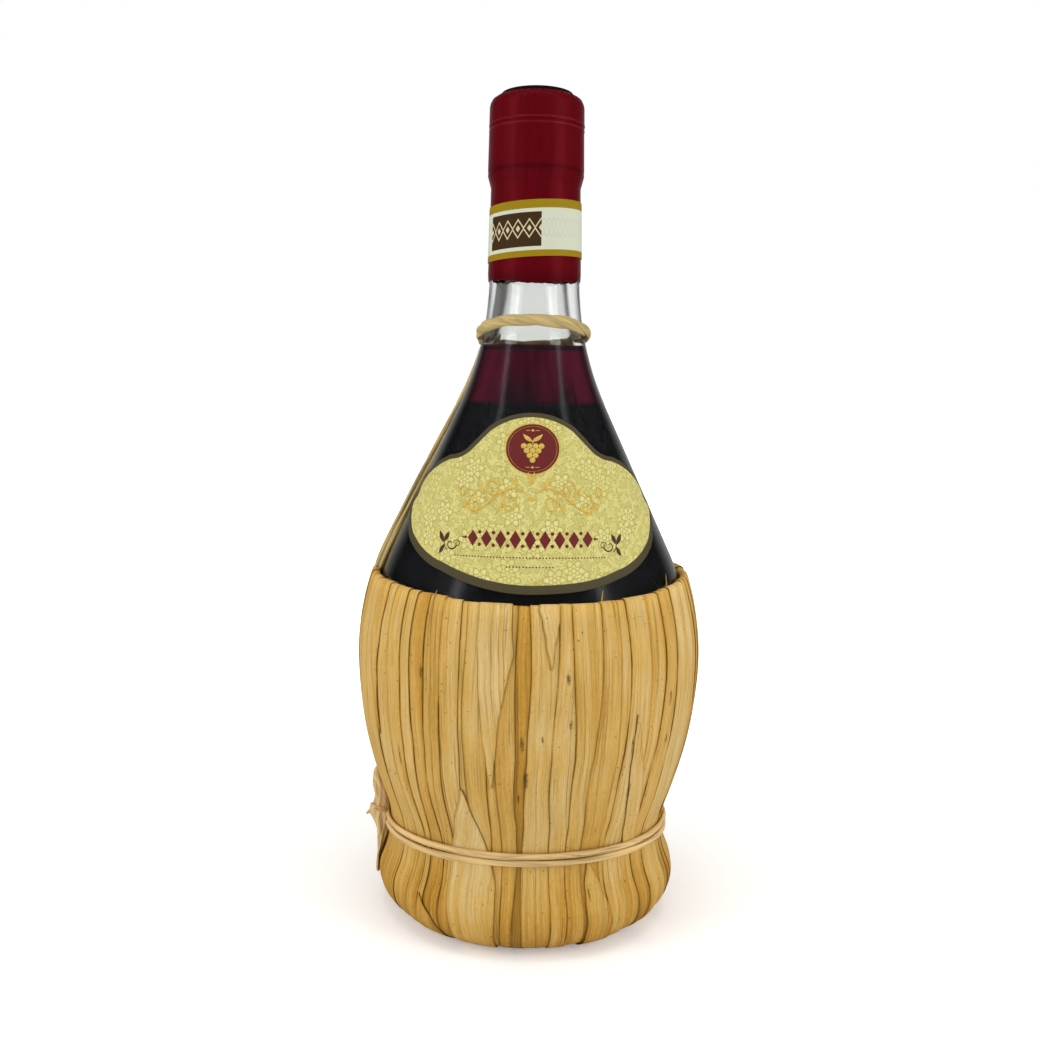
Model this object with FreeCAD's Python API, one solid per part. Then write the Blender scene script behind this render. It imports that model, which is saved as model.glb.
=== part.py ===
"""A straw-dressed wine flask (fiasco) in millimetres.

The round-bottomed glass stands in a base ring. Straw leaves are folded over a hoop at the rim, run down
outside the glass, are tied in at the waist by two turns of twine and end under the base ring.
Origin at the middle of the underside, +Z up, the label towards -Y.
"""
import FreeCAD, Part
import math
import os

# Glass, outside
BODY_R = 52.5
BODY_Z = 85.0
FOOT_Z = 7.5
BOTTOM_ROUND = 32.0
SHOULDER_ROUND = 78.0
SHOULDER_ANGLE = 25.0
FLARE_ROUND = 95.0
NECK_ROOT_R = 14.84
NECK_TOP_R = 13.65
NECK_LENGTH = 76.3
FINISH_LOW_R = 14.7
FINISH_TOP_R = 14.2
FINISH_HEIGHT = 23.3
FINISH_STEP = 3.8
LIP_ROUND = 3.0

# Glass, inside
GLASS_WALL = 2.8
BORE_R = 9.25
BORE_CHAMFER = 0.8
BORE_FLARE_ROUND = 110.0

# Cork and wine
CORK_LENGTH = 44.0
CORK_FIT = 0.08
CORK_SUNK = 0.5
CORK_CHAMFER = 1.0
ULLAGE = 76.3
WINE_GAP = 0.3

# Capsule, in two pieces parted at the tear line, with a disc on top
CAPSULE_WALL = 0.3
CAPSULE_GAP = 0.15
CAPSULE_LENGTH = 55.9
TEAR_DROP = 8.6
TEAR_GAP = 0.3
CAP_GAP = 0.25
DISC_R = 11.3
DISC_HEIGHT = 1.2
DISC_ROUND = 0.5

# Papers
PAPER = 0.25
PAPER_GAP = 0.05
STRIP_DROP = 32.4
STRIP_HEIGHT = 17.0
STRIP_BUTT = 1.5
LABEL_HALF_WIDTH = 38.2
LABEL_TOP_RISE = 77.6
LABEL_HEIGHT = 51.2

# Right half of the label's outline: shares of its half width across and of its height down
LABEL_CROWN = (0.327, 0.090)
LABEL_SLOPE = (0.458, 0.195)
LABEL_NOTCH_DEEP = (0.534, 0.240)
LABEL_NOTCH_END = (0.628, 0.260)
LABEL_LOBE_ROUND = (0.825, 0.348)
LABEL_LOBE = (0.942, 0.500)
LABEL_WIDEST = (1.0, 0.666)
LABEL_CORNER = (0.969, 0.764)
LABEL_CORNER_ROUND = (0.864, 0.842)
LABEL_BASE = (0.681, 0.904)

# Straw leaves, from the widest place of the glass outwards
LEAF_COUNT = 40
LEAF = 0.9
LEAF_GLASS_GAP = 0.3
LEAF_GAP = 0.35
LEAF_WANDER = 0.17
LEAF_WANDER_STEP = 2.4
HOOP_R = 0.4
HOOP_GAP = 0.05
RIM_RISE = 25.4
TUCK_LENGTH = 20.0
LOWER_ROUND = 130.0
WAIST_ROUND = 27.0
HEEL_ROUND = 12.5
HEEL_R = 36.4
HEEL_LIFT = 0.2

# Base ring
RING_BORE = 12.0
RING_TOP = 27.0
RING_GAP = 0.3

# Waist twine
TWINE_R = 0.9
TWINE_GAP = 0.3
TWINE_TURNS = 2
TWINE_PITCH = 2.4
TWINE_Z = 28.7
TWINE_FRONT_RISE = 3.3
TWINE_PARTING_ANGLE = 3.0
TWINE_KNOT_R = 5.2
TWINE_KNOT_WALL = 1.3
TWINE_KNOT_LENGTH = 8.0
TWINE_TAIL_R = 0.8
TWINE_TAIL_LENGTH = 7.5
TWINE_TAIL_LEAN_ANGLE = 25.0
TWINE_KNOT_ANGLE = 180.0

# Neck cord
CORD_R = 1.1
CORD_GAP = 0.3
LOOP_DROP = 16.1
LOOP_FRONT_RISE = 3.1
LOOP_PARTING_ANGLE = 16.0
NECK_KNOT_ANGLE = 150.0
NECK_KNOT_R = 3.0
NECK_KNOT_SLACK = 0.55
NECK_KNOT_LENGTH = 7.5
STRAP_RIM_ANGLE = 187.0
STRAP_RUNS = 6

ORIGIN = FreeCAD.Vector(0, 0, 0)
UP = FreeCAD.Vector(0, 0, 1)
SAME_POINT = 1e-6
NUDGE = 1e-4


def at(r, z):
    """A point of a profile: r from the bottle's axis, z above the floor."""
    return FreeCAD.Vector(r, 0, z)


def line(a, b):
    return Part.LineSegment(a, b).toShape()


def path_lines(points):
    return [line(a, b) for a, b in zip(points, points[1:])]


def spin(edges, sweep=360.0, start=0.0):
    """A solid of revolution about +Z from a closed profile, from one bearing through a sweep in degrees."""
    solid = Part.Face(Part.Wire(edges)).revolve(ORIGIN, UP, sweep)
    solid.rotate(ORIGIN, UP, start)
    return solid


class Bow:
    """One arc of a profile. A crowned bow grows when it is offset outwards and a hollow one shrinks."""

    def __init__(self, centre, radius, start, end, crowned=True):
        self.centre = centre
        self.radius = radius
        self.start = start
        self.end = end
        self.grow = 1 if crowned else -1

    def point(self, share, offset=0.0):
        turn = math.radians(self.start + (self.end - self.start) * share)
        reach = self.radius + self.grow * offset
        return at(self.centre[0] + reach * math.cos(turn), self.centre[1] + reach * math.sin(turn))

    def edge(self, offset=0.0):
        ends = [self.point(share, offset) for share in (0.0, 0.5, 1.0)]
        return Part.Arc(*ends).toShape()

    def radius_at(self, z):
        """How far the bow stands from the bottle's axis at one height."""
        rise = z - self.centre[1]
        return self.centre[0] + self.grow * math.sqrt(self.radius ** 2 - rise ** 2)


def bow_chain(bows, offset=0.0):
    """The bows' edges at one offset, in order, with straight runs between bows that don't meet."""
    edges = []
    last = None
    for bow in bows:
        first = bow.point(0.0, offset)
        if last is not None and (first - last).Length > SAME_POINT:
            edges.append(line(last, first))
        edges.append(bow.edge(offset))
        last = bow.point(1.0, offset)
    return edges


def hollow_corner(before, corner, after, radius):
    """The hollow bow that rounds a corner of a rising profile, tangent to both of its straight runs."""
    to_before = (before - corner).normalize()
    to_after = (after - corner).normalize()
    half = to_before.getAngle(to_after) / 2
    middle = (to_before + to_after).normalize()
    centre = corner + middle * (radius / math.sin(half))
    reach = radius / math.tan(half)
    turns = []
    for run in (to_before, to_after):
        spoke = corner + run * reach - centre
        turns.append(math.degrees(math.atan2(spoke.z, spoke.x)) % 360)
    return Bow((centre.x, centre.z), radius, turns[0], turns[1], crowned=False)


def bottle_bows():
    """The glass's outline from the bottom of its round base up to the neck."""
    depth = BODY_Z - FOOT_Z
    side = (BODY_R ** 2 + depth ** 2 - 2 * BOTTOM_ROUND * depth) / (2 * (BODY_R - BOTTOM_ROUND))
    side_centre = (BODY_R - side, BODY_Z)
    bottom_centre = (0.0, FOOT_Z + BOTTOM_ROUND)
    meet = math.degrees(math.atan2(bottom_centre[1] - side_centre[1], bottom_centre[0] - side_centre[0]))
    bottom = Bow(bottom_centre, BOTTOM_ROUND, -90.0, meet)
    flank = Bow(side_centre, side, meet, 0.0)
    shoulder = Bow((BODY_R - SHOULDER_ROUND, BODY_Z), SHOULDER_ROUND, 0.0, SHOULDER_ANGLE)
    return [bottom, flank, shoulder]


BOTTOM_BOW, FLANK_BOW, SHOULDER_BOW = bottle_bows()
CONE_FOOT = SHOULDER_BOW.point(1.0)
CONE_SLOPE = math.tan(math.radians(SHOULDER_ANGLE))
ROOT_Z = CONE_FOOT.z + (CONE_FOOT.x - NECK_ROOT_R) / CONE_SLOPE
LIP_Z = ROOT_Z + NECK_LENGTH
STEP_TOP_Z = LIP_Z - FINISH_HEIGHT
STEP_LOW_Z = STEP_TOP_Z - FINISH_STEP
TEAR_Z = LIP_Z - TEAR_DROP
CAPSULE_LOW_Z = LIP_Z - CAPSULE_LENGTH
FLARE_BOW = hollow_corner(CONE_FOOT, at(NECK_ROOT_R, ROOT_Z), at(NECK_TOP_R, STEP_LOW_Z), FLARE_ROUND)
OUTER_BOWS = [BOTTOM_BOW, FLANK_BOW, SHOULDER_BOW, FLARE_BOW]


def neck_radius(z):
    """The straight taper of the neck between its root and the step of the finish."""
    share = (z - ROOT_Z) / (STEP_LOW_Z - ROOT_Z)
    return NECK_ROOT_R + (NECK_TOP_R - NECK_ROOT_R) * share


def finish_radius(z):
    """The straight taper of the finish between its step and the lip."""
    share = (z - STEP_TOP_Z) / FINISH_HEIGHT
    return FINISH_LOW_R + (FINISH_TOP_R - FINISH_LOW_R) * share


def glass_radius(z):
    """The outside of the glass between its widest place and the neck."""
    if z <= CONE_FOOT.z:
        return SHOULDER_BOW.radius_at(z)
    if z <= FLARE_BOW.point(0.0).z:
        return CONE_FOOT.x - (z - CONE_FOOT.z) * CONE_SLOPE
    if z <= FLARE_BOW.point(1.0).z:
        return FLARE_BOW.radius_at(z)
    return neck_radius(z)


def bottle_blank(offset):
    """The closed bottle as one solid, its outside moved outwards by an offset, up to the level of the lip."""
    edges = bow_chain(OUTER_BOWS, offset)
    edges += path_lines([
        FLARE_BOW.point(1.0, offset),
        at(NECK_TOP_R + offset, STEP_LOW_Z),
        at(FINISH_LOW_R + offset, STEP_TOP_Z),
        at(FINISH_TOP_R + offset, LIP_Z),
        at(0, LIP_Z),
        BOTTOM_BOW.point(0.0, offset),
    ])
    return spin(edges)


def bottle_skin(gap, wall):
    """A thin skin over the whole bottle, a gap away from the glass."""
    return bottle_blank(gap + wall).cut(bottle_blank(gap))


def cavity_bows():
    """The inside of the glass from its bottom up to the straight bore."""
    inner_foot = SHOULDER_BOW.point(1.0, -GLASS_WALL)
    corner_z = inner_foot.z + (inner_foot.x - BORE_R) / CONE_SLOPE
    flare = hollow_corner(inner_foot, at(BORE_R, corner_z), at(BORE_R, LIP_Z), BORE_FLARE_ROUND)
    wall_bows = []
    for bow in (BOTTOM_BOW, FLANK_BOW, SHOULDER_BOW):
        wall_bows.append(Bow(bow.centre, bow.radius - GLASS_WALL, bow.start, bow.end))
    return wall_bows + [flare]


def make_glass_bottle():
    outer = bow_chain(OUTER_BOWS)
    lip_out = at(finish_radius(LIP_Z - LIP_ROUND), LIP_Z - LIP_ROUND)
    outer += path_lines([
        FLARE_BOW.point(1.0),
        at(NECK_TOP_R, STEP_LOW_Z),
        at(FINISH_LOW_R, STEP_TOP_Z),
        lip_out,
    ])
    lip_in = at(lip_out.x - LIP_ROUND, LIP_Z)
    slant = LIP_ROUND * math.sqrt(0.5)
    lip_middle = at(lip_in.x + slant, lip_out.z + slant)
    outer.append(Part.Arc(lip_out, lip_middle, lip_in).toShape())
    cavity = cavity_bows()
    outer += path_lines([
        lip_in,
        at(BORE_R + BORE_CHAMFER, LIP_Z),
        at(BORE_R, LIP_Z - BORE_CHAMFER),
        cavity[-1].point(1.0),
    ])
    inner = bow_chain(cavity)
    floor = line(cavity[0].point(0.0), BOTTOM_BOW.point(0.0))
    return spin(outer + inner[::-1] + [floor])


def make_wine():
    """What the bottle holds, up to its level and clear of the glass."""
    cavity = cavity_bows()
    edges = bow_chain(cavity, -WINE_GAP)
    neck_foot = cavity[-1].point(1.0, -WINE_GAP)
    edges += path_lines([neck_foot, at(0, neck_foot.z), cavity[0].point(0.0, -WINE_GAP)])
    level = Part.makeCylinder(BODY_R, LIP_Z - ULLAGE)
    return spin(edges).common(level)


def make_cork():
    radius = BORE_R - CORK_FIT
    top = LIP_Z - CORK_SUNK
    foot = top - CORK_LENGTH
    corners = [
        at(0, foot),
        at(radius - CORK_CHAMFER, foot),
        at(radius, foot + CORK_CHAMFER),
        at(radius, top - CORK_CHAMFER),
        at(radius - CORK_CHAMFER, top),
        at(0, top),
        at(0, foot),
    ]
    return spin(path_lines(corners))


def make_capsule_cap():
    """The part of the capsule above the tear line: a cup over the lip with a rounded upper edge."""
    foot = TEAR_Z + TEAR_GAP / 2
    wall_in = CAP_GAP
    wall_out = CAP_GAP + CAPSULE_WALL
    ceiling = LIP_Z + CAP_GAP
    roof = ceiling + CAPSULE_WALL
    slant = math.sqrt(0.5)
    edges = []
    ends = []
    for offset, height, rounding in (
        (wall_in, ceiling, LIP_ROUND + wall_in),
        (wall_out, roof, LIP_ROUND + wall_out),
    ):
        low = at(finish_radius(foot) + offset, foot)
        side = at(finish_radius(height - rounding) + offset, height - rounding)
        top = at(side.x - rounding, height)
        middle = at(top.x + rounding * slant, side.z + rounding * slant)
        centre = at(0, height)
        chain = [line(low, side), Part.Arc(side, middle, top).toShape(), line(top, centre)]
        edges.append(chain)
        ends.append((low, centre))
    rim = line(ends[1][0], ends[0][0])
    axis = line(ends[0][1], ends[1][1])
    return spin(edges[0] + [axis] + edges[1][::-1] + [rim])


def make_capsule_top_disc():
    seat = LIP_Z + CAP_GAP + CAPSULE_WALL
    disc = Part.makeCylinder(DISC_R, DISC_HEIGHT, at(0, seat))
    top_edges = [edge for edge in disc.Edges if edge.BoundBox.ZMin > seat + DISC_HEIGHT / 2]
    return disc.makeFillet(DISC_ROUND, top_edges)


def neck_skin(gap, wall, low, high):
    """The skin of the bottle between two heights."""
    return bottle_skin(gap, wall).common(Part.makeCylinder(BODY_R, high - low, at(0, low)))


def make_capsule_sleeve():
    return neck_skin(CAPSULE_GAP, CAPSULE_WALL, CAPSULE_LOW_Z, TEAR_Z - TEAR_GAP / 2)


def make_neck_strip():
    """A paper band round the capsule, its two ends almost meeting at the back."""
    high = LIP_Z - STRIP_DROP
    low = high - STRIP_HEIGHT
    band = neck_skin(CAPSULE_GAP + CAPSULE_WALL + PAPER_GAP, PAPER, low, high)
    slit = Part.makeBox(STRIP_BUTT, BODY_R, STRIP_HEIGHT, FreeCAD.Vector(-STRIP_BUTT / 2, 0, low))
    return band.cut(slit)


def make_front_label():
    """A crowned, two-lobed paper on the shoulder: its outline, seen from the front, cut from a thin skin."""
    top = BODY_Z + LABEL_TOP_RISE

    def spot(share, side=1):
        across, down = share
        return FreeCAD.Vector(side * across * LABEL_HALF_WIDTH, 0, top - down * LABEL_HEIGHT)

    def arc(first, middle, last, side):
        return Part.Arc(spot(first, side), spot(middle, side), spot(last, side)).toShape()

    def half(side):
        return [
            line(spot(LABEL_CROWN, side), spot(LABEL_SLOPE, side)),
            arc(LABEL_SLOPE, LABEL_NOTCH_DEEP, LABEL_NOTCH_END, side),
            arc(LABEL_NOTCH_END, LABEL_LOBE_ROUND, LABEL_LOBE, side),
            arc(LABEL_LOBE, LABEL_WIDEST, LABEL_CORNER, side),
            arc(LABEL_CORNER, LABEL_CORNER_ROUND, LABEL_BASE, side),
        ]

    crown = Part.Arc(spot(LABEL_CROWN, -1), spot((0, 0)), spot(LABEL_CROWN)).toShape()
    base = Part.Arc(spot(LABEL_BASE), spot((0, 1)), spot(LABEL_BASE, -1)).toShape()
    outline = Part.Face(Part.Wire([crown] + half(1) + [base] + half(-1)[::-1]))
    block = outline.extrude(FreeCAD.Vector(0, -2 * BODY_R, 0))
    return bottle_skin(PAPER_GAP, PAPER).common(block)


FOLD_IN = HOOP_R + HOOP_GAP
LEAF_OUT = LEAF_GLASS_GAP + 2 * (LEAF + FOLD_IN)
STRAW_R = BODY_R + LEAF_OUT
FOLD_MID = LEAF_GLASS_GAP + LEAF + FOLD_IN
RIM_TURN = math.degrees(math.asin(RIM_RISE / (SHOULDER_ROUND + FOLD_MID)))
TUCK_TURN = RIM_TURN - math.degrees(TUCK_LENGTH / SHOULDER_ROUND)
RIM_MID = Bow(SHOULDER_BOW.centre, SHOULDER_ROUND, RIM_TURN, RIM_TURN).point(0.0, FOLD_MID)


def leaf_bows():
    """The outer face of a leaf below the rim: shoulder, flank, tied waist and heel round the base ring."""
    upper = Bow(SHOULDER_BOW.centre, SHOULDER_ROUND + LEAF_OUT, RIM_TURN, 0.0)
    flank_centre = (STRAW_R - LOWER_ROUND, BODY_Z)
    heel_centre = (HEEL_R, HEEL_LIFT + HEEL_ROUND)
    span = math.dist(flank_centre, heel_centre)
    to_flank = LOWER_ROUND + WAIST_ROUND
    to_heel = HEEL_ROUND + WAIST_ROUND
    along = (span ** 2 + to_flank ** 2 - to_heel ** 2) / (2 * span)
    aside = math.sqrt(to_flank ** 2 - along ** 2)
    run = ((heel_centre[0] - flank_centre[0]) / span, (heel_centre[1] - flank_centre[1]) / span)
    waist_centre = (
        flank_centre[0] + along * run[0] - aside * run[1],
        flank_centre[1] + along * run[1] + aside * run[0],
    )

    def bearing(centre):
        return math.degrees(math.atan2(waist_centre[1] - centre[1], waist_centre[0] - centre[0]))

    to_waist = bearing(flank_centre)
    from_waist = bearing(heel_centre)
    flank = Bow(flank_centre, LOWER_ROUND, 0.0, to_waist)
    waist = Bow(waist_centre, WAIST_ROUND, to_waist + 180.0, from_waist + 180.0, crowned=False)
    heel = Bow(heel_centre, HEEL_ROUND, from_waist, -90.0)
    return [upper, flank, waist, heel]


UPPER_BOW, LEAF_FLANK_BOW, WAIST_BOW, HEEL_BOW = leaf_bows()
LEAF_BOWS = [UPPER_BOW, LEAF_FLANK_BOW, WAIST_BOW, HEEL_BOW]


def leaf_profile():
    """A leaf cut lengthwise: tucked end, fold round the hoop, outer leg, waist, heel and foot."""
    tuck_in = Bow(SHOULDER_BOW.centre, SHOULDER_ROUND + LEAF_GLASS_GAP, TUCK_TURN, RIM_TURN)
    tuck_out = Bow(SHOULDER_BOW.centre, SHOULDER_ROUND + LEAF_GLASS_GAP + LEAF, RIM_TURN, TUCK_TURN)
    rim = (RIM_MID.x, RIM_MID.z)
    fold_out = Bow(rim, FOLD_IN + LEAF, RIM_TURN + 180.0, RIM_TURN)
    fold_in = Bow(rim, FOLD_IN, RIM_TURN, RIM_TURN + 180.0)
    outside = [tuck_in.edge(), fold_out.edge()] + bow_chain(LEAF_BOWS)
    foot = line(HEEL_BOW.point(1.0), HEEL_BOW.point(1.0, -LEAF))
    inside = bow_chain(LEAF_BOWS, -LEAF)[::-1] + [fold_in.edge(), tuck_out.edge()]
    tuck_end = line(tuck_out.point(1.0), tuck_in.point(0.0))
    return outside + [foot] + inside + [tuck_end]


def leaf_bearing(number):
    """Where one leaf ends and the next begins, in degrees: even steps that wander a little."""
    wander = LEAF_WANDER * math.sin(LEAF_WANDER_STEP * (number % LEAF_COUNT))
    return 360.0 * (number + wander) / LEAF_COUNT


def make_straw_leaf(number):
    parting = math.degrees(LEAF_GAP / STRAW_R)
    start = leaf_bearing(number) + parting / 2
    end = leaf_bearing(number + 1) - parting / 2
    return spin(leaf_profile(), end - start, start)


def make_rim_hoop():
    return Part.makeTorus(RIM_MID.x, HOOP_R, at(0, RIM_MID.z))


def make_base_ring():
    """The ring that the round bottom sits in: flat below, filling the heel of the leaves outside."""
    back = LEAF + RING_GAP
    foot_r = HEEL_R - LEAF_GAP
    heel = Bow(HEEL_BOW.centre, HEEL_ROUND - back, HEEL_BOW.start, HEEL_BOW.end)
    waist = Bow(WAIST_BOW.centre, WAIST_ROUND + back, WAIST_BOW.start, WAIST_BOW.end, crowned=False)
    shelf = heel.point(1.0)
    outline = bow_chain([waist, heel])
    outline += path_lines([
        shelf,
        at(foot_r, shelf.z),
        at(foot_r, 0),
        at(RING_BORE, 0),
        at(RING_BORE, waist.point(0.0).z),
        waist.point(0.0),
    ])
    trim = Part.makeCylinder(STRAW_R, RING_TOP)
    return spin(outline).common(trim).cut(bottle_blank(RING_GAP))


def straw_radius(z):
    """The outside of the leaves between the heel and the widest place."""
    if z >= LEAF_FLANK_BOW.point(1.0).z:
        return LEAF_FLANK_BOW.radius_at(z)
    if z >= WAIST_BOW.point(1.0).z:
        return WAIST_BOW.radius_at(z)
    return HEEL_BOW.radius_at(z)


def tangent_arc(start, corner, end):
    """The arc that leaves start towards corner and arrives at end from it, both equally far away."""
    chord_mid = (start + end) * 0.5
    rise = corner - chord_mid
    half_chord = (end - start).Length / 2
    if rise.Length < SAME_POINT * half_chord:
        return line(start, end)
    quarter = math.atan2(rise.Length, half_chord) / 2
    middle = chord_mid + rise.normalize() * (half_chord * math.tan(quarter))
    return Part.Arc(start, middle, end).toShape()


def biarc(start, start_way, end, end_way):
    """Two arcs from start to end that meet smoothly and keep the two unit directions."""
    gap = end - start
    ways = start_way + end_way
    bend = 2 * (1 - start_way.dot(end_way))
    pull = 2 * gap.dot(ways)
    if bend < SAME_POINT:
        reach = gap.dot(gap) / pull
    else:
        reach = (math.sqrt(pull * pull + 4 * bend * gap.dot(gap)) - pull) / (2 * bend)
    first = start + start_way * reach
    last = end - end_way * reach
    middle = (first + last) * 0.5
    return [tangent_arc(start, first, middle), tangent_arc(middle, last, end)]


def smooth_wire(route, steps):
    """A wire of arcs along route(share), share running from 0 to 1 in equal steps."""
    stops = []
    for number in range(steps + 1):
        share = number / steps
        way = (route(share + NUDGE) - route(share - NUDGE)).normalize()
        stops.append((route(share), way))
    edges = []
    for (start, start_way), (end, end_way) in zip(stops, stops[1:]):
        edges += biarc(start, start_way, end, end_way)
    return Part.Wire(edges)


def tube(wire, radius):
    """A round tube along a wire."""
    edge = wire.Edges[0]
    section = Part.Wire(Part.makeCircle(radius, edge.Vertexes[0].Point, edge.tangentAt(edge.FirstParameter)))
    return wire.makePipeShell([section], True, False)


def least_self_gap(route, turns, radius):
    """The least clear distance between neighbouring turns of a winding, measured on points."""
    per_turn = 90
    apart = per_turn // 2
    count = per_turn * turns
    points = [route(number / count) for number in range(count + 1)]
    least = min(
        (points[i] - points[j]).Length
        for i in range(count + 1)
        for j in range(i + apart, count + 1)
    )
    return least - 2 * radius


def twine_route(share):
    """Turns of twine in the waist, the front of each turn higher than its back."""
    parting = math.radians(TWINE_PARTING_ANGLE)
    turn = 2 * math.pi * TWINE_TURNS
    along = parting / 2 + share * (turn - parting)
    bearing = math.radians(TWINE_KNOT_ANGLE) + along
    climb = TWINE_PITCH * (along - turn / 2) / (2 * math.pi)
    z = TWINE_Z - TWINE_FRONT_RISE * math.sin(bearing) + climb
    reach = straw_radius(z) + TWINE_GAP + TWINE_R
    return FreeCAD.Vector(reach * math.cos(bearing), reach * math.sin(bearing), z)


def make_waist_twine():
    gap = least_self_gap(twine_route, TWINE_TURNS, TWINE_R)
    print(f"waist twine: least gap between its turns {gap:.2f} mm")
    return tube(smooth_wire(twine_route, 4 * TWINE_TURNS), TWINE_R)


def straw_blank(offset):
    """The dressed bottle up to its widest place as one solid, moved outwards by an offset."""
    edges = bow_chain(LEAF_BOWS[1:], offset)
    last = HEEL_BOW.point(1.0, offset)
    edges += path_lines([last, at(0, last.z), at(0, BODY_Z), LEAF_FLANK_BOW.point(0.0, offset)])
    return spin(edges)


def make_twine_knot():
    """A wrapped knot over the twine's ends and its middle strand, with two tails."""
    middle = twine_route(0.5)
    ahead = twine_route(0.5 + NUDGE)
    way = (ahead - middle).normalize()
    outwards = FreeCAD.Vector(middle.x, middle.y, 0).normalize()
    half = TWINE_KNOT_LENGTH / 2
    end_r = TWINE_KNOT_R - TWINE_KNOT_WALL / 2
    belly = [at(end_r, -half), at(TWINE_KNOT_R, 0), at(end_r, half)]
    edges = [Part.Arc(*belly).toShape()] + path_lines([belly[2], at(0, half), at(0, -half), belly[0]])
    barrel = spin(edges)
    barrel.Placement = FreeCAD.Placement(middle, FreeCAD.Rotation(UP, way)).multiply(barrel.Placement)
    hole_r = TWINE_KNOT_R - TWINE_KNOT_WALL
    hole = Part.makeCylinder(hole_r, 2 * TWINE_KNOT_LENGTH, middle - way * TWINE_KNOT_LENGTH, way)
    knot = barrel.cut(hole)
    lean = math.radians(TWINE_TAIL_LEAN_ANGLE)
    for rise in (1, -1):
        way_out = outwards * math.sin(lean) + UP * (rise * math.cos(lean))
        root = middle + outwards * TWINE_R + UP * (rise * (hole_r + TWINE_TAIL_R))
        tail = Part.makeCylinder(TWINE_TAIL_R, TWINE_TAIL_LENGTH, root, way_out)
        knot = knot.fuse(tail)
    return knot.cut(straw_blank(TWINE_GAP)).removeSplitter()


LOOP_Z = CAPSULE_LOW_Z - LOOP_DROP


def cord_reach(z):
    """How far a cord's middle lies from the bottle's axis where it lies on the glass."""
    slope = math.atan((glass_radius(z - CORD_R) - glass_radius(z + CORD_R)) / (2 * CORD_R))
    return glass_radius(z) + (CORD_GAP + CORD_R) / math.cos(slope)


def loop_route(share):
    """One tilted turn round the neck, high at the front, between the two sides of its knot."""
    parting = math.radians(LOOP_PARTING_ANGLE)
    bearing = math.radians(NECK_KNOT_ANGLE) + parting / 2 + share * (2 * math.pi - parting)
    z = LOOP_Z - LOOP_FRONT_RISE * math.sin(bearing)
    reach = cord_reach(z)
    return FreeCAD.Vector(reach * math.cos(bearing), reach * math.sin(bearing), z)


def make_neck_loop():
    gap = (loop_route(0.0) - loop_route(1.0)).Length - 2 * CORD_R
    print(f"neck loop: gap between its two ends {gap:.2f} mm")
    return tube(smooth_wire(loop_route, 4), CORD_R)


STRAP_LOW_Z = RIM_MID.z + FOLD_IN + LEAF + CORD_GAP + CORD_R * math.sin(math.radians(SHOULDER_ANGLE))
STRAP_HIGH_Z = LOOP_Z - LOOP_FRONT_RISE * math.sin(math.radians(NECK_KNOT_ANGLE)) - NECK_KNOT_R - CORD_GAP


def strap_route(share):
    """From the knot down the glass to the rim of the straw, drifting towards the front as it falls."""
    z = STRAP_HIGH_Z + (STRAP_LOW_Z - STRAP_HIGH_Z) * share
    bearing = math.radians(NECK_KNOT_ANGLE + (STRAP_RIM_ANGLE - NECK_KNOT_ANGLE) * share)
    reach = cord_reach(z)
    return FreeCAD.Vector(reach * math.cos(bearing), reach * math.sin(bearing), z)


def make_shoulder_strap():
    return tube(smooth_wire(strap_route, STRAP_RUNS), CORD_R)


def make_neck_knot():
    """A barrel over the two ends of the loop, hollowed for them and for the glass."""
    start = loop_route(0.0)
    end = loop_route(1.0)
    middle = (start + end) * 0.5
    way = (start - end).normalize()
    half = NECK_KNOT_LENGTH / 2
    bore_r = CORD_R + NECK_KNOT_SLACK
    end_r = (NECK_KNOT_R + bore_r) / 2
    belly = [at(end_r, -half), at(NECK_KNOT_R, 0), at(end_r, half)]
    edges = [Part.Arc(*belly).toShape()]
    edges += path_lines([belly[2], at(bore_r, half), at(bore_r, -half), belly[0]])
    barrel = spin(edges)
    barrel.Placement = FreeCAD.Placement(middle, FreeCAD.Rotation(UP, way)).multiply(barrel.Placement)
    return barrel.cut(bottle_blank(CORD_GAP))


def main():
    os.makedirs("parts", exist_ok=True)
    pieces = {
        "glass_bottle": make_glass_bottle(),
        "wine": make_wine(),
        "cork": make_cork(),
        "capsule_cap": make_capsule_cap(),
        "capsule_top_disc": make_capsule_top_disc(),
        "capsule_sleeve": make_capsule_sleeve(),
        "neck_strip": make_neck_strip(),
        "front_label": make_front_label(),
        "base_ring": make_base_ring(),
        "rim_hoop": make_rim_hoop(),
        "waist_twine": make_waist_twine(),
        "twine_knot": make_twine_knot(),
        "neck_loop": make_neck_loop(),
        "neck_knot": make_neck_knot(),
        "shoulder_strap": make_shoulder_strap(),
    }
    for number in range(LEAF_COUNT):
        pieces[f"straw_leaf_{number + 1:02d}"] = make_straw_leaf(number)
    for name, shape in pieces.items():
        if not shape.isValid() or shape.Volume <= 0:
            raise ValueError(f"{name} is not a sound solid")
        shape.exportStep(f"parts/{name}.step")
    fill = pieces["wine"].Volume / 1000
    print(f"wine {fill:.0f} ml, lip at {LIP_Z:.2f} mm, straw {2 * STRAW_R:.1f} mm wide")


main()
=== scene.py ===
"""Looks of a straw-dressed wine flask, laid over its CAD frame.

Lengths are metres in the frame's own axes: origin under the middle of the base, +Z up, the label towards -Y.
A bearing is an angle round +Z, counter-clockwise from +X, so the front is at 270 degrees.
"""

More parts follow.
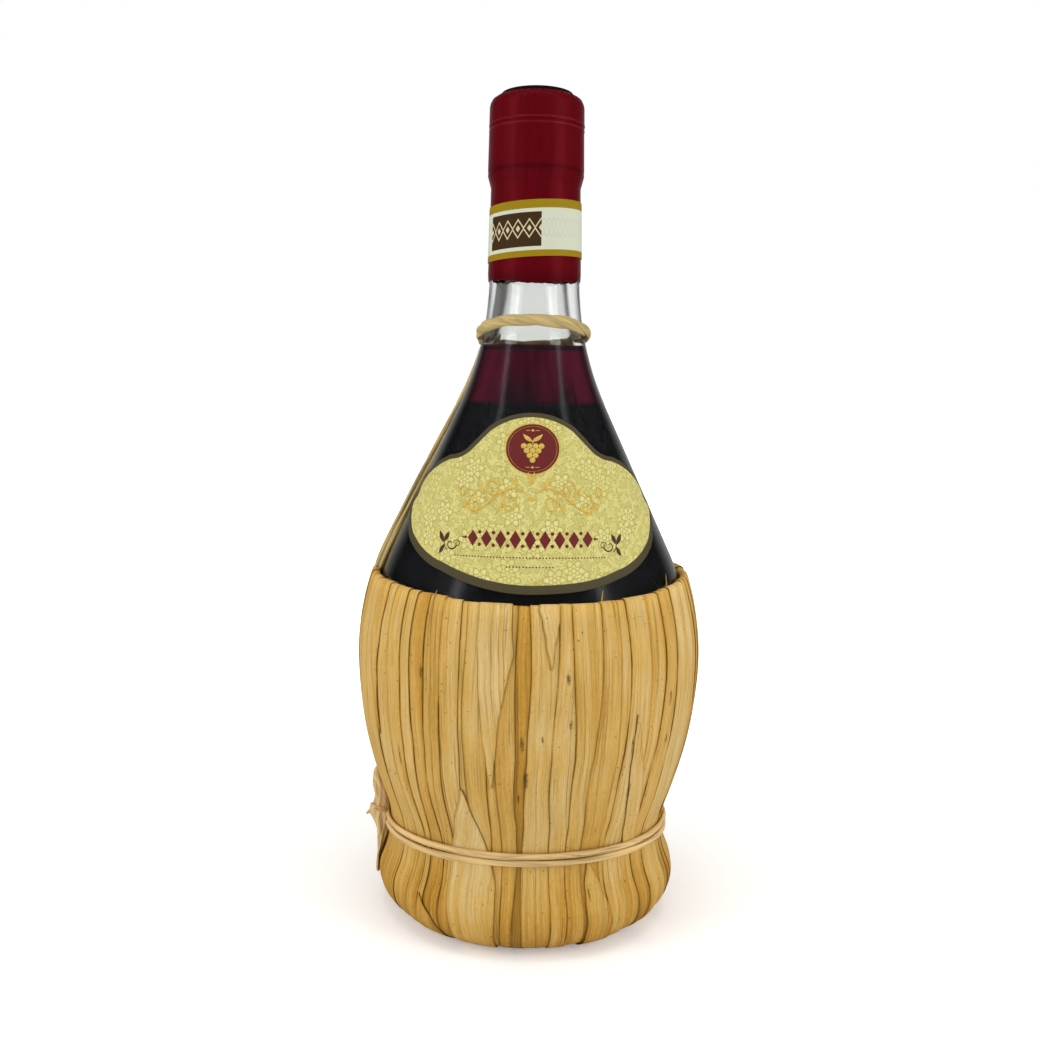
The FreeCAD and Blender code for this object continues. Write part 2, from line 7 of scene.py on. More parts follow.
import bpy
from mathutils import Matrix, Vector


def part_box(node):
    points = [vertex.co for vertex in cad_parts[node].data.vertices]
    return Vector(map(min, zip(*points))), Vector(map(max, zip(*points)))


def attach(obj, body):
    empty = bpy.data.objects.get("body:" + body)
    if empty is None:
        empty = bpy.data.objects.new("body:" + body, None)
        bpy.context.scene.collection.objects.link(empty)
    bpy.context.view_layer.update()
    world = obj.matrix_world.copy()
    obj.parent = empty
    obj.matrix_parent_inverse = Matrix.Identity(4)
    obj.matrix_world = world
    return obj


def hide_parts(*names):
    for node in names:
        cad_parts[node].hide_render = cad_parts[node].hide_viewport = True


bl_info = {
    "name": "Straw-dressed wine flask",
    "version": (1, 0, 0),
    "blender": (4, 5, 0),
    "location": "3D View > Sidebar > Flask",
    "description": "Lays glass, wine, straw leaves, papers, capsule and cords over the flask's CAD frame",
    "category": "Object",
}

import math

import bmesh
import bpy
import numpy as np
from mathutils import Matrix, Vector

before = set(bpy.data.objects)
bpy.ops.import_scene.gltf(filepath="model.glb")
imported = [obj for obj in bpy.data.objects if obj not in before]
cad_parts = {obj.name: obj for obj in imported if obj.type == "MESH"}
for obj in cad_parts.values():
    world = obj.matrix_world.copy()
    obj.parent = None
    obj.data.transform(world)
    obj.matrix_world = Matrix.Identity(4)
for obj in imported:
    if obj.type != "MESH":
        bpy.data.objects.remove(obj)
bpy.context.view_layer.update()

MM = 0.001
FRONT = math.radians(270)
SEED = 23

# Places read from the frame
GLASS_LOW, GLASS_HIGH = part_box("glass_bottle")
WINE_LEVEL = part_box("wine")[1].z
CORK_LOW, CORK_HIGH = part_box("cork")
SLEEVE_LOW, SLEEVE_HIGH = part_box("capsule_sleeve")
DISC_LOW, DISC_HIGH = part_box("capsule_top_disc")
STRIP_LOW, STRIP_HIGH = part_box("neck_strip")
LABEL_LOW, LABEL_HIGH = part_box("front_label")
STRAW_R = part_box("straw_leaf_01")[1].x
LEAVES = sorted(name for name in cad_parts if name.startswith("straw_leaf_"))

# Glass outline
BODY_R = GLASS_HIGH.x
BODY_Z = 85.0 * MM
FOOT_Z = GLASS_LOW.z
LIP_Z = GLASS_HIGH.z
BOTTOM_ROUND = 32.0 * MM
SHOULDER_ROUND = 78.0 * MM
SHOULDER_ANGLE = math.radians(25.0)
FLARE_ROUND = 95.0 * MM
NECK_ROOT_R = 14.84 * MM
NECK_TOP_R = 13.65 * MM
FINISH_LOW_R = 14.7 * MM
FINISH_TOP_R = 14.2 * MM
FINISH_HEIGHT = 23.3 * MM
FINISH_STEP = 3.8 * MM
LIP_ROUND = 3.0 * MM
GLASS_WALL = 2.8 * MM
BORE_R = 9.25 * MM
BORE_CHAMFER = 0.8 * MM
BORE_FLARE_ROUND = 110.0 * MM

# Leaf outline, cut lengthwise
LEAF = 0.9 * MM
LEAF_GLASS_GAP = 0.3 * MM
FOLD_IN = 0.45 * MM
RIM_RISE = 25.4 * MM
TUCK_LENGTH = 20.0 * MM
LOWER_ROUND = 130.0 * MM
WAIST_ROUND = 27.0 * MM
HEEL_ROUND = 12.5 * MM
HEEL_R = 36.4 * MM
HEEL_LIFT = 0.2 * MM
LEAF_WANDER = 0.17
LEAF_WANDER_STEP = 2.4
LEAF_TIP_THICKNESS = 0.32 * MM
HOOP_R = 0.4 * MM
RING_BORE = 12.0 * MM
RING_FOOT_R = 36.0 * MM
RING_ROUNDS = 6
RING_GROOVE = 0.9 * MM

# Cord routes
TWINE_Z = 28.7 * MM
TWINE_FRONT_RISE = 3.3 * MM
TWINE_PITCH = 2.4 * MM
TWINE_PARTING = math.radians(3.0)
TWINE_TURNS = 2
TWINE_LAY = 7.0
TWINE_PRESS = 4.5 * MM
LOOP_LAY = 3.3
LOOP_DROP = 16.1 * MM
LOOP_FRONT_RISE = 3.1 * MM
LOOP_PARTING = math.radians(16.0)
KNOT_BEARING = math.radians(150.0)
STRAP_RIM_BEARING = math.radians(187.0)
STRAP_RISE = 1.46 * MM
STRAP_OVER = 0.74 * MM
STRAP_APART = 0.70 * MM

# Capsule, papers and cork
SLEEVE_BEAD_Z = SLEEVE_HIGH.z - 0.9 * MM
CAP_GAP = 0.25 * MM
DISC_EDGE_ROUND = 0.5 * MM
DISC_CRIMP = 0.07 * MM
SLEEVE_CREASE = 0.12 * MM
LABEL_GLUE = 0.05 * MM
STRIP_GAP = 0.50 * MM
STRIP_BUTT = 1.5 * MM
STRIP_TILT = 0.9 * MM
CORK_CHAMFER = 1.0 * MM
MENISCUS_WIDTH = 1.6 * MM
MENISCUS_DROP = 0.5 * MM

# Stage, in metres
LAMP_TARGET = Vector((0.0, 0.0, 0.12))
SIDE_LAMP_PLACE = Vector((0.82, -0.40, 0.36))
SIDE_LAMP_SIZE = (0.46, 0.80)
TOP_LAMP_PLACE = Vector((0.0, -0.15, 1.1))
TOP_LAMP_SIZE = (0.7, 0.5)
FLOOR_HALF = 12.0
SENSOR_WIDTH = 36.0


def length(name, description, default):
    return bpy.props.FloatProperty(
        name=name, description=description, default=default, unit="LENGTH", precision=5
    )


def colour(name, description, default):
    return bpy.props.FloatVectorProperty(
        name=name, description=description, default=default, subtype="COLOR", size=3, min=0.0, max=1.0
    )


def amount(name, description, default):
    return bpy.props.FloatProperty(name=name, description=description, default=default, min=0.0)


def turn(name, description, default):
    return bpy.props.FloatProperty(
        name=name, description=description, default=math.radians(default), subtype="ANGLE"
    )


def tinted(shade, factor):
    """A colour times a factor, with no channel above 1."""
    return [min(1.0, factor * part) for part in shade]


class FlaskGlass(bpy.types.PropertyGroup):
    """Glass, wine and cork"""
    tint: colour("Glass tint", "Colour of the clear glass", (0.87, 0.88, 0.86))
    # The glass edge colour is partly the deeper tint of a long path through the wall and partly painted shade
    # at the silhouettes.
    edge: colour("Glass edge", "Colour of the glass looked through edgeways", (0.10, 0.105, 0.11))
    sunk: length("Wine overlap", "How far the wine reaches into the wall that it wets", 0.06 * MM)
    # The thin wine colour is painted backlight: the maroon that light from behind gives the neck's wine, on
    # an opaque body.
    bright: colour("Thin wine", "Wine in the neck, where light passes", (0.195, 0.0230, 0.057))
    deep: colour("Deep wine", "Wine in the body", (0.0260, 0.0270, 0.0325))
    # change sets how far below the level the painted backlight fades to the deep wine.
    change: length("Depth of thin wine", "How far below its level the wine turns dark", 18.0 * MM)
    cork: colour("Cork", "Middle colour of the cork", (0.46, 0.27, 0.13))


class FlaskCapsule(bpy.types.PropertyGroup):
    """Capsule and its top disc"""
    foil: colour("Foil", "Main red of the capsule", (0.185, 0.0016, 0.0085))
    shade: colour("Foil shade", "Deeper red towards the cut edge", (0.095, 0.0006, 0.004))
    disc: colour("Top disc", "Colour of the disc on top", (0.014, 0.0025, 0.002))
    wall: length("Foil thickness", "Thickness of the capsule", 0.3 * MM)
    gap: length("Foil gap", "Clearance between the foil and the glass", 0.15 * MM)
    ragged: length("Ragged edge", "How far the cut lower edge wanders", 0.24 * MM)
    front_sag: length("Front sag", "How far the cut edge hangs lower at the front", 1.3 * MM)
    back_rise: length("Back rise", "How far the cut edge runs higher at the back", 2.2 * MM)
    bead: length("Tear bead", "Height of the beads at the tear line", 0.16 * MM)
    pleat: length("Pleats", "Depth of the pleats round the upper edge", 0.10 * MM)


class FlaskPapers(bpy.types.PropertyGroup):
    """Front label and neck strip"""
    ground: colour("Label ground", "Pale ground of the label", (0.630, 0.572, 0.203))
    figure: colour("Label figure", "Tone of the pattern on the ground", (0.36, 0.300, 0.062))
    border: colour("Label border", "Band round the label", (0.072, 0.058, 0.027))
    ink: colour("Ink", "Dark red print", (0.140, 0.013, 0.012))
    line_ink: colour("Line ink", "Brown print of the sprigs and rules", (0.080, 0.026, 0.013))
    foil: colour("Gold foil", "Raised gold ornament", (0.74, 0.53, 0.105))
    border_width: length("Border width", "Width of the band at the label's foot", 2.7 * MM)
    thickness: length("Paper", "Thickness of both papers", 0.25 * MM)
    strip: colour("Strip", "Pale paper of the neck strip", (0.58, 0.60, 0.47))
    strip_gold: colour("Strip bands", "Gold bands of the neck strip", (0.275, 0.182, 0.003))
    strip_panel: colour("Strip panel", "Dark panel of the neck strip", (0.050, 0.026, 0.007))


class FlaskStraw(bpy.types.PropertyGroup):
    """Straw leaves, hoop and base ring"""
    ripe: colour("Ripe straw", "Darkest, orange leaves", (0.475, 0.240, 0.026))
    straw: colour("Straw", "Usual leaves", (0.600, 0.368, 0.090))
    pale: colour("Pale straw", "Palest, beige leaves", (0.690, 0.500, 0.215))
    # The seam colour is the brown of the leaves' edges and also paints shadow into the joints.
    seam: colour("Seams", "Brown of the leaves' edges", (0.125, 0.058, 0.006))
    thickness: length("Leaf thickness", "Thickness of one strip of leaf", 0.45 * MM)
    rise: length("Lap rise", "How far an upper edge stands out", 0.14 * MM)
    drop: length("Lap drop", "How far a lower edge lies in", 0.17 * MM)
    lap: length("Lap", "How far an upper edge reaches past the joint", 0.7 * MM)
    rim_dip: length("Rim dip", "How much lower the rim lies at the front", 2.8 * MM)
    coil: colour("Base ring", "Colour of the straw rope under the base", (0.42, 0.25, 0.07))


class FlaskCords(bpy.types.PropertyGroup):
    """Waist twine, neck loop and strap"""
    twine: colour("Twine", "Pale twine round the waist", (0.70, 0.475, 0.195))
    knot: colour("Knot", "Dull, crumpled raffia of the knot", (0.650, 0.450, 0.200))
    raffia: colour("Raffia", "Cord round the neck", (0.500, 0.375, 0.150))
    twine_out: length("Twine thickness", "Half thickness of the flattened twine", 0.72 * MM)
    twine_side: length("Twine width", "Half width of the flattened twine", 1.0 * MM)
    cord_out: length("Cord thickness", "Half thickness of the neck cord", 1.15 * MM)
    cord_side: length("Cord width", "Half width of the neck cord", 1.95 * MM)
    strap_out: length("Strap thickness", "Half thickness of a strand of the strap", 0.90 * MM)
    strap_side: length("Strap width", "Half width of a strand of the strap", 1.05 * MM)


class FlaskStage(bpy.types.PropertyGroup):
    """Floor, light and camera"""
    floor: colour("Floor", "Pale floor", (0.93, 0.93, 0.92))
    fill: amount("Fill", "Brightness of the surroundings on matt surfaces", 0.55)
    dark: amount("Dark side", "Brightness of the room in front, as gloss shows it", 0.03)
    behind: amount("Behind, in gloss", "Brightness behind the flask, as gloss shows it", 0.40)
    beside: amount("Beside, through glass", "Brightness beside the flask, as clear glass shows it", 0.16)
    streak: amount("Streaks", "Brightness of the two soft upright streaks that gloss shows", 1.3)
    side_power: amount("Side lamps", "Power of each tall side lamp, in watts", 4.2)
    top_power: amount("Top lamp", "Power of the lamp overhead, in watts", 3.0)
    focal: amount("Focal length", "Lens in millimetres on a 36 mm sensor", 38.08)
    distance: length("Camera distance", "Camera in front of the flask's axis", 357.0 * MM)
    height: length("Camera height", "Camera above the floor", 170.0 * MM)
    pitch: turn("Camera pitch", "How far the camera looks down", 6.84)
    yaw: turn("Camera yaw", "How far the camera turns to the left", 0.55)
    roll: turn("Camera roll", "How far the camera leans to the left", 0.87)


def arithmetic(operation, swapped=False):
    """A method that joins a value and another one by a Math node, the other one first if swapped."""
    def joined(self, other):
        return self.graph.math(operation, *((other, self) if swapped else (self, other)))

    return joined


class Value:
    """A socket that Python expressions can work on: each operator adds one Math node."""

    def __init__(self, graph, socket):
        self.graph = graph
        self.socket = socket

    def math(self, operation, *others):
        return self.graph.math(operation, self, *others)

    def __abs__(self):
        return self.math("ABSOLUTE")

    __add__ = __radd__ = arithmetic("ADD")
    __sub__ = arithmetic("SUBTRACT")
    __rsub__ = arithmetic("SUBTRACT", swapped=True)
    __mul__ = __rmul__ = arithmetic("MULTIPLY")
    __truediv__ = arithmetic("DIVIDE")
    __pow__ = arithmetic("POWER")
    __gt__ = arithmetic("GREATER_THAN")
    __lt__ = arithmetic("LESS_THAN")


class Graph:
    """A node tree, with one method that adds every kind of node and short names for the usual ones."""

    def __init__(self, tree):
        self.tree = tree
        tree.nodes.clear()

    def node(self, kind, settings=None, inputs=None, output=0):
        """Adds a node with its settings, sets or links its sockets by name or number and gives one output."""
        made = self.tree.nodes.new(kind)
        for key, setting in (settings or {}).items():
            if key == "stops":
                self.set_stops(made.color_ramp.elements, setting)
            else:
                setattr(made, key, setting)
        for key, given in (inputs or {}).items():
            socket = made.inputs[key]
            if isinstance(given, Value):
                self.tree.links.new(given.socket, socket)
            elif socket.type == "RGBA":
                socket.default_value = (*given[:3], 1.0)
            else:
                socket.default_value = given
        return Value(self, made.outputs[output]) if made.outputs else made

    def set_stops(self, elements, stops):
        for number, (place, shade) in enumerate(stops):
            stop = elements[number] if number < 2 else elements.new(place)
            stop.position = place
            stop.color = (*shade[:3], 1.0)

    def math(self, operation, *values):
        return self.node("ShaderNodeMath", {"operation": operation}, dict(enumerate(values)))

    def most(self, first, second):
        return self.math("MAXIMUM", first, second)

    def bell(self, value, width):
        """1 where the value is 0, falling off on both sides: exp(-(value / width)^2)."""
        return self.math("EXPONENT", (value / width) ** 2 * -1.0)

    def mix(self, factor, first, second):
        return self.node("ShaderNodeMix", {"data_type": "RGBA"}, {0: factor, 6: first, 7: second}, 2)

    def scaled(self, shade, factor):
        """A colour times a number that changes over the surface."""
        return self.node("ShaderNodeVectorMath", {"operation": "SCALE"}, {0: shade, "Scale": factor})

    def ramp(self, factor, stops):
        return self.node("ShaderNodeValToRGB", {"stops": stops}, {"Fac": factor})

    def vector(self, x, y, z=0.0):
        return self.node("ShaderNodeCombineXYZ", None, {"X": x, "Y": y, "Z": z})

    def parts(self, vector):
        return [self.node("ShaderNodeSeparateXYZ", None, {0: vector}, number) for number in range(3)]

    def place(self):
        """The point's place on the object, in millimetres."""
        here = self.node("ShaderNodeTexCoord", None, None, "Object")
        return [part * (1 / MM) for part in self.parts(here)]

    def uv(self):
        return self.parts(self.node("ShaderNodeTexCoord", None, None, "UV"))[:2]

    def attribute(self, name):
        return self.node("ShaderNodeAttribute", {"attribute_name": name}, None, "Fac")

    def noise(self, place, scale=1.0, detail=2.0, roughness=0.5):
        """Noise at a place given by two or three numbers."""
        inputs = {"Vector": self.vector(*place), "Scale": scale, "Detail": detail, "Roughness": roughness}
        return self.node("ShaderNodeTexNoise", None, inputs)

    def cells(self, vector, scale=1.0, output="Distance", dimensions="3D"):
        inputs = {"Vector": vector, "Scale": scale}
        return self.node("ShaderNodeTexVoronoi", {"voronoi_dimensions": dimensions}, inputs, output)

    def step(self, value, low, high):
        """0 below low, 1 above high and a smooth change between them."""
        inputs = {"Value": value, "From Min": low, "From Max": high}
        return self.node("ShaderNodeMapRange", {"interpolation_type": "SMOOTHSTEP"}, inputs)

    def bump(self, height, strength, distance):
        inputs = {"Height": height, "Strength": strength, "Distance": distance}
        return self.node("ShaderNodeBump", None, inputs)

    def light_path(self, output):
        return self.node("ShaderNodeLightPath", None, None, output)


class Finish(Graph):
    """A material whose nodes end in one Principled shader."""

    def __init__(self, name):
        self.material = bpy.data.materials.new(name)
        self.material.use_nodes = True
        super().__init__(self.material.node_tree)

    def tones(self, grain, shade, dark, light):
        """A ramp over a grain, from a dark to a light (place, share of the shade)."""
        return self.ramp(grain, [(place, tinted(shade, share)) for place, share in (dark, light)])

    def done(self, inputs):
        shader = self.node("ShaderNodeBsdfPrincipled", None, inputs)
        self.node("ShaderNodeOutputMaterial", None, {"Surface": shader})
        return self.material


class Sheet:
    """A grid of points (rows, columns, 3) with the quads between them.

    A closed grid joins its last row or column to its first, and caps close the end rows with one face each.
    uv is (rows, columns, 2), and values maps a name to one number for each point.
    """

    def __init__(self, points, close_rows=False, close_columns=False, caps=False, uv=None, values=None):
        self.points = points
        self.close_rows = close_rows
        self.close_columns = close_columns
        self.caps = caps
        self.uv = uv
        self.values = values or {}

    def count(self):
        return self.points.shape[0] * self.points.shape[1]

    def faces(self, start):
        rows, columns = self.points.shape[:2]
        index = np.arange(rows * columns).reshape(rows, columns) + start
        ends = [index[0, ::-1].tolist(), index[-1].tolist()] if self.caps else []
        if self.close_rows:
            index = np.concatenate([index, index[:1]])
        if self.close_columns:
            index = np.concatenate([index, index[:, :1]], axis=1)
        quads = np.stack([index[:-1, :-1], index[:-1, 1:], index[1:, 1:], index[1:, :-1]], axis=-1)
        return quads.reshape(-1, 4).tolist() + ends


def close_up(mesh):
    """Merges the doubles at seams and poles and points every face outwards."""
    work = bmesh.new()
    work.from_mesh(mesh)
    bmesh.ops.remove_doubles(work, verts=work.verts, dist=1e-7)
    bmesh.ops.recalc_face_normals(work, faces=work.faces)
    work.to_mesh(mesh)
    work.free()


def link(name, data):
    """A new object in the scene, at the origin."""
    made = bpy.data.objects.new(name, data)
    bpy.context.scene.collection.objects.link(made)
    return made


def build(name, sheets, finish, node=None, body="bottle"):
    """One piece from several sheets: mesh, UVs, named values, finish, body, slot and the node it shows."""
    mesh = bpy.data.meshes.new(name)
    points = np.concatenate([sheet.points.reshape(-1, 3) for sheet in sheets])
    starts = np.cumsum([0] + [sheet.count() for sheet in sheets])
    faces = [face for sheet, start in zip(sheets, starts) for face in sheet.faces(int(start))]
    mesh.from_pydata(points.tolist(), [], faces)
    if sheets[0].uv is not None:
        corners = np.empty(len(mesh.loops), dtype=np.int32)
        mesh.loops.foreach_get("vertex_index", corners)
        uv = np.concatenate([sheet.uv.reshape(-1, 2) for sheet in sheets])
        mesh.uv_layers.new(name="UVMap").data.foreach_set("uv", uv[corners].astype(np.float32).ravel())
    for key in sheets[0].values:
        numbers = np.concatenate([np.broadcast_to(s.values[key], s.points.shape[:2]).ravel() for s in sheets])
        mesh.attributes.new(key, "FLOAT", "POINT").data.foreach_set("value", numbers.astype(np.float32))
    close_up(mesh)
    mesh.shade_smooth()
    mesh.set_sharp_from_angle(angle=math.radians(50))
    mesh.materials.append(finish)
    piece = link(name, mesh)
    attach(piece, body)
    if node:
        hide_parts(node)


def arc(centre, radius, start, end, count):
    """Points (r, z) at a centre plus a radius times cosine and sine of evenly spaced angles in radians."""
    angle = np.linspace(start, end, count)
    return np.stack([centre[0] + radius * np.cos(angle), centre[1] + radius * np.sin(angle)], axis=1)


def hollow_corner(before, corner, after, radius):
    """Centre and two angles of the hollow arc that rounds a corner and touches both of its straight runs."""
    runs = [np.subtract(end, corner) / np.linalg.norm(np.subtract(end, corner)) for end in (before, after)]
    half = math.acos(float(runs[0] @ runs[1])) / 2
    middle = (runs[0] + runs[1]) / np.linalg.norm(runs[0] + runs[1])
    centre = corner + middle * (radius / math.sin(half))
    touches = [corner + run * (radius / math.tan(half)) - centre for run in runs]
    return centre, [math.atan2(touch[1], touch[0]) % math.tau for touch in touches]


def lower_glass(wall):
    """Round base, flank and shoulder as three arcs that flow together, a wall inside the outline."""
    depth = BODY_Z - FOOT_Z
    flank = (BODY_R ** 2 + depth ** 2 - 2 * BOTTOM_ROUND * depth) / (2 * (BODY_R - BOTTOM_ROUND))
    bottom = (0.0, FOOT_Z + BOTTOM_ROUND)
    side = (BODY_R - flank, BODY_Z)
    meet = math.atan2(bottom[1] - side[1], bottom[0] - side[0])
    shoulder = (BODY_R - SHOULDER_ROUND, BODY_Z)
    return np.concatenate([
        arc(bottom, BOTTOM_ROUND - wall, -math.pi / 2, meet, 24)[:-1],
        arc(side, flank - wall, meet, 0.0, 40)[:-1],
        arc(shoulder, SHOULDER_ROUND - wall, 0.0, SHOULDER_ANGLE, 20),
    ])


def glass_outside():
    """From under the base to the top of the lip: three arcs, cone, flare, neck, step and finish."""
    low = lower_glass(0.0)
    foot = low[-1]
    root = np.array([NECK_ROOT_R, foot[1] + (foot[0] - NECK_ROOT_R) / math.tan(SHOULDER_ANGLE)])
    step_top = LIP_Z - FINISH_HEIGHT
    step_low = np.array([NECK_TOP_R, step_top - FINISH_STEP])
    centre, turns = hollow_corner(foot, root, step_low, FLARE_ROUND)
    lip_low = LIP_Z - LIP_ROUND
    lip_r = FINISH_LOW_R + (FINISH_TOP_R - FINISH_LOW_R) * (lip_low - step_top) / FINISH_HEIGHT
    return np.concatenate([
        low,
        arc(centre, FLARE_ROUND, turns[0], turns[1], 30),
        [step_low, (FINISH_LOW_R, step_top)],
        arc((lip_r - LIP_ROUND, lip_low), LIP_ROUND, 0.0, math.pi / 2, 10),
    ])


def glass_inside():
    """The cavity from its bottom up to the chamfer of the bore."""
    low = lower_glass(GLASS_WALL)
    foot = low[-1]
    corner = np.array([BORE_R, foot[1] + (foot[0] - BORE_R) / math.tan(SHOULDER_ANGLE)])
    centre, turns = hollow_corner(foot, corner, np.array([BORE_R, LIP_Z]), BORE_FLARE_ROUND)
    return np.concatenate([
        low,
        arc(centre, BORE_FLARE_ROUND, turns[0], turns[1], 40),
        [(BORE_R, LIP_Z - BORE_CHAMFER), (BORE_R + BORE_CHAMFER, LIP_Z)],
    ])


CREASE_Z = LIP_Z - FINISH_HEIGHT + 0.7 * MM
OUTSIDE = glass_outside()
INSIDE = glass_inside()


def glass_radius(z):
    """How far the outside of the glass stands from the axis at each height."""
    return np.interp(z, OUTSIDE[:, 1], OUTSIDE[:, 0])


def ring(columns):
    return np.linspace(0.0, math.tau, columns, endpoint=False)


def around(reach, bearing, z):
    """Points at a reach from the axis, a bearing and a height, all broadcast together."""
    reach, bearing, z = np.broadcast_arrays(reach, bearing, z)
    return np.stack([reach * np.cos(bearing), reach * np.sin(bearing), z], axis=-1)


def lathe(profile, columns=192):
    """A profile (r, z) turned about the axis: r cos, r sin and z over a ring of bearings."""
    return around(profile[:, :1], ring(columns), profile[:, 1:])


def waves(rng, count, share, strengths, cycles):
    """Smooth random curves: sums of sines of a share, with random phases, one row for each curve."""
    total = np.zeros((count, np.size(share)))
    for strength, cycle in zip(strengths, cycles):
        phase = rng.uniform(0.0, math.tau, (count, 1))
        total += strength * rng.uniform(0.5, 1.0, (count, 1)) * np.sin(math.tau * cycle * share + phase)
    return total


def bell(value, width):
    return np.exp(-(value / width) ** 2)


def ease(value, low, high):
    """0 below low, 1 above high, with the smooth step 3s^2 - 2s^3 between."""
    share = np.clip((value - low) / (high - low), 0.0, 1.0)
    return share * share * (3 - 2 * share)


def glass_finish(tint, edge):
    """Clear glass, darker where it is looked through edgeways: partly the longer path through the wall,
    partly painted shade for the dark surroundings seen through its edges, with more painted shade where wine
    backs it.
    """
    finish = Finish("flask_glass")
    facing = finish.node("ShaderNodeLayerWeight", None, {"Blend": 0.5}, "Facing")
    x, y, height = finish.place()
    # filled adds painted shade at the edges below the wine level.
    filled = 1 - finish.step(height, WINE_LEVEL / MM - 1.0, WINE_LEVEL / MM + 1.0)
    # grazing_shade darkens the edges: partly the longer path through the wall, partly painted shade.
    grazing_shade = finish.step(facing + 0.12 * filled, 0.48, 0.76)
    body = finish.mix(grazing_shade, tint, edge)
    uneven = finish.noise((x, y, height * 0.45), 0.16, 2.0)
    return finish.done({
        "Base Color": body,
        "Roughness": 0.0,
        "IOR": 1.5,
        "Transmission Weight": 1.0,
        "Normal": finish.bump(uneven, 0.10, 0.8 * MM),
    })


def wine_finish(settings):
    """Opaque wine with its light painted in: painted backlight gives maroon near the level, lighter at the
    sides and darker in uneven upright bands, fading downwards to near black, with a painted dark line of
    shade under the level.
    """
    finish = Finish("red_wine")
    x, y, z = finish.place()
    level = WINE_LEVEL / MM
    cloud = finish.noise((x, y, z), 0.12, 3.0)
    depth = level - z
    change = settings.change / MM
    # deep is where the painted backlight gives way to the near-black deep wine.
    deep = finish.step(depth + (cloud - 0.5) * 1.2, change - 1.1, change + 1.1)
    # Painted shade: thick marks uneven upright bands, strongest towards the front and back, which darken the
    # painted backlight and deepen further down, leaving the sides lighter.
    bearing = finish.math("ARCTAN2", x, y)
    bands = finish.noise((bearing * 2.4, z * 0.02), 1.0, 2.0)
    bands = bands + (bearing * 2.0).math("COSINE") * 0.16
    thick = finish.step(bands, 0.34, 0.70)
    shaded = finish.mix(thick, settings.bright, tinted(settings.bright, 0.50))
    shaded = finish.mix(thick * finish.step(depth, change * 0.25, change) * 0.75, shaded, settings.deep)
    # Painted shade: a dark line just under the level.
    line = finish.step(depth, 0.25, 0.6) * (1 - finish.step(depth, 1.2, 2.2))
    body = finish.mix(finish.most(deep, line * 0.9), shaded, settings.deep)
    return finish.done({"Base Color": body, "Roughness": 0.25, "Specular IOR Level": 0.05})


def cork_finish(shade):
    """Cork grain: mottled cells, dark pores that run across and a waxy skin."""
    finish = Finish("cork")
    x, y, z = finish.place()
    grain = finish.noise((x, y, z), 0.9, 6.0, 0.65)
    pores = finish.noise((x, y, z * 0.45), 0.55, 3.0)
    holes = finish.step(pores, 0.60, 0.68)
    tone = finish.tones(grain, shade, (0.3, 0.7), (0.7, 1.3))
    body = finish.mix(holes, tone, tinted(shade, 0.22))
    normal = finish.bump(grain * 0.3 - holes, 0.7, 0.4 * MM)
    return finish.done({"Base Color": body, "Roughness": 0.75, "Normal": normal})


def capsule_finish(settings):
    """Red foil: faint brushed streaks, deeper red towards the cut edge, painted highlights along the two tear
    beads, painted shade along the crease above the step, fine wrinkles and a soft gloss.
    """
    finish = Finish("capsule_foil")
    x, y, z = finish.place()
    bearing = finish.math("ARCTAN2", x, y)
    streak = finish.noise((bearing * 9.0, z * 0.05), 1.0, 3.0)
    wrinkle = finish.noise((x * 0.35, y * 0.35, z * 0.12), 1.0, 4.0)
    low = 1 - finish.step(z, SLEEVE_LOW.z / MM - 1.0, SLEEVE_LOW.z / MM + 5.0)
    body = finish.mix(finish.most(low * 0.8, (streak - 0.35) * 0.9), settings.foil, settings.shade)
    # Painted highlights: a lighter red along each tear bead, broken by the streaks.
    for bead in (SLEEVE_BEAD_Z / MM, SLEEVE_HIGH.z / MM + 0.75):
        shine = finish.bell(z - bead, 0.24)
        body = finish.mix(shine * streak * 0.8, body, [min(1.0, 2.0 * settings.foil[0]), 0.035, 0.035])
    # Painted shade: a darker red along the crease above the glass's step.
    crease = finish.bell(z - CREASE_Z / MM, 0.85)
    body = finish.mix(crease * 0.42, body, tinted(settings.shade, 0.3))
    relief = wrinkle * 0.8 + streak * 0.2
    normal = finish.bump(relief, 0.25, 0.5 * MM)
    return finish.done({
        "Base Color": body,
        "Roughness": 0.28 + 0.16 * wrinkle,
        "Metallic": 0.45,
        "Specular IOR Level": 0.22,
        "Normal": normal,
    })


def disc_finish(shade):
    """Dark foil with a pressed grain."""
    finish = Finish("capsule_top_foil")
    grain = finish.noise(finish.place(), 1.4, 4.0)
    return finish.done({
        "Base Color": finish.tones(grain, shade, (0.3, 0.6), (0.75, 1.5)),
        "Roughness": 0.38 + 0.2 * grain,
        "Specular IOR Level": 0.2,
        "Normal": finish.bump(grain, 0.3, 0.2 * MM),
    })


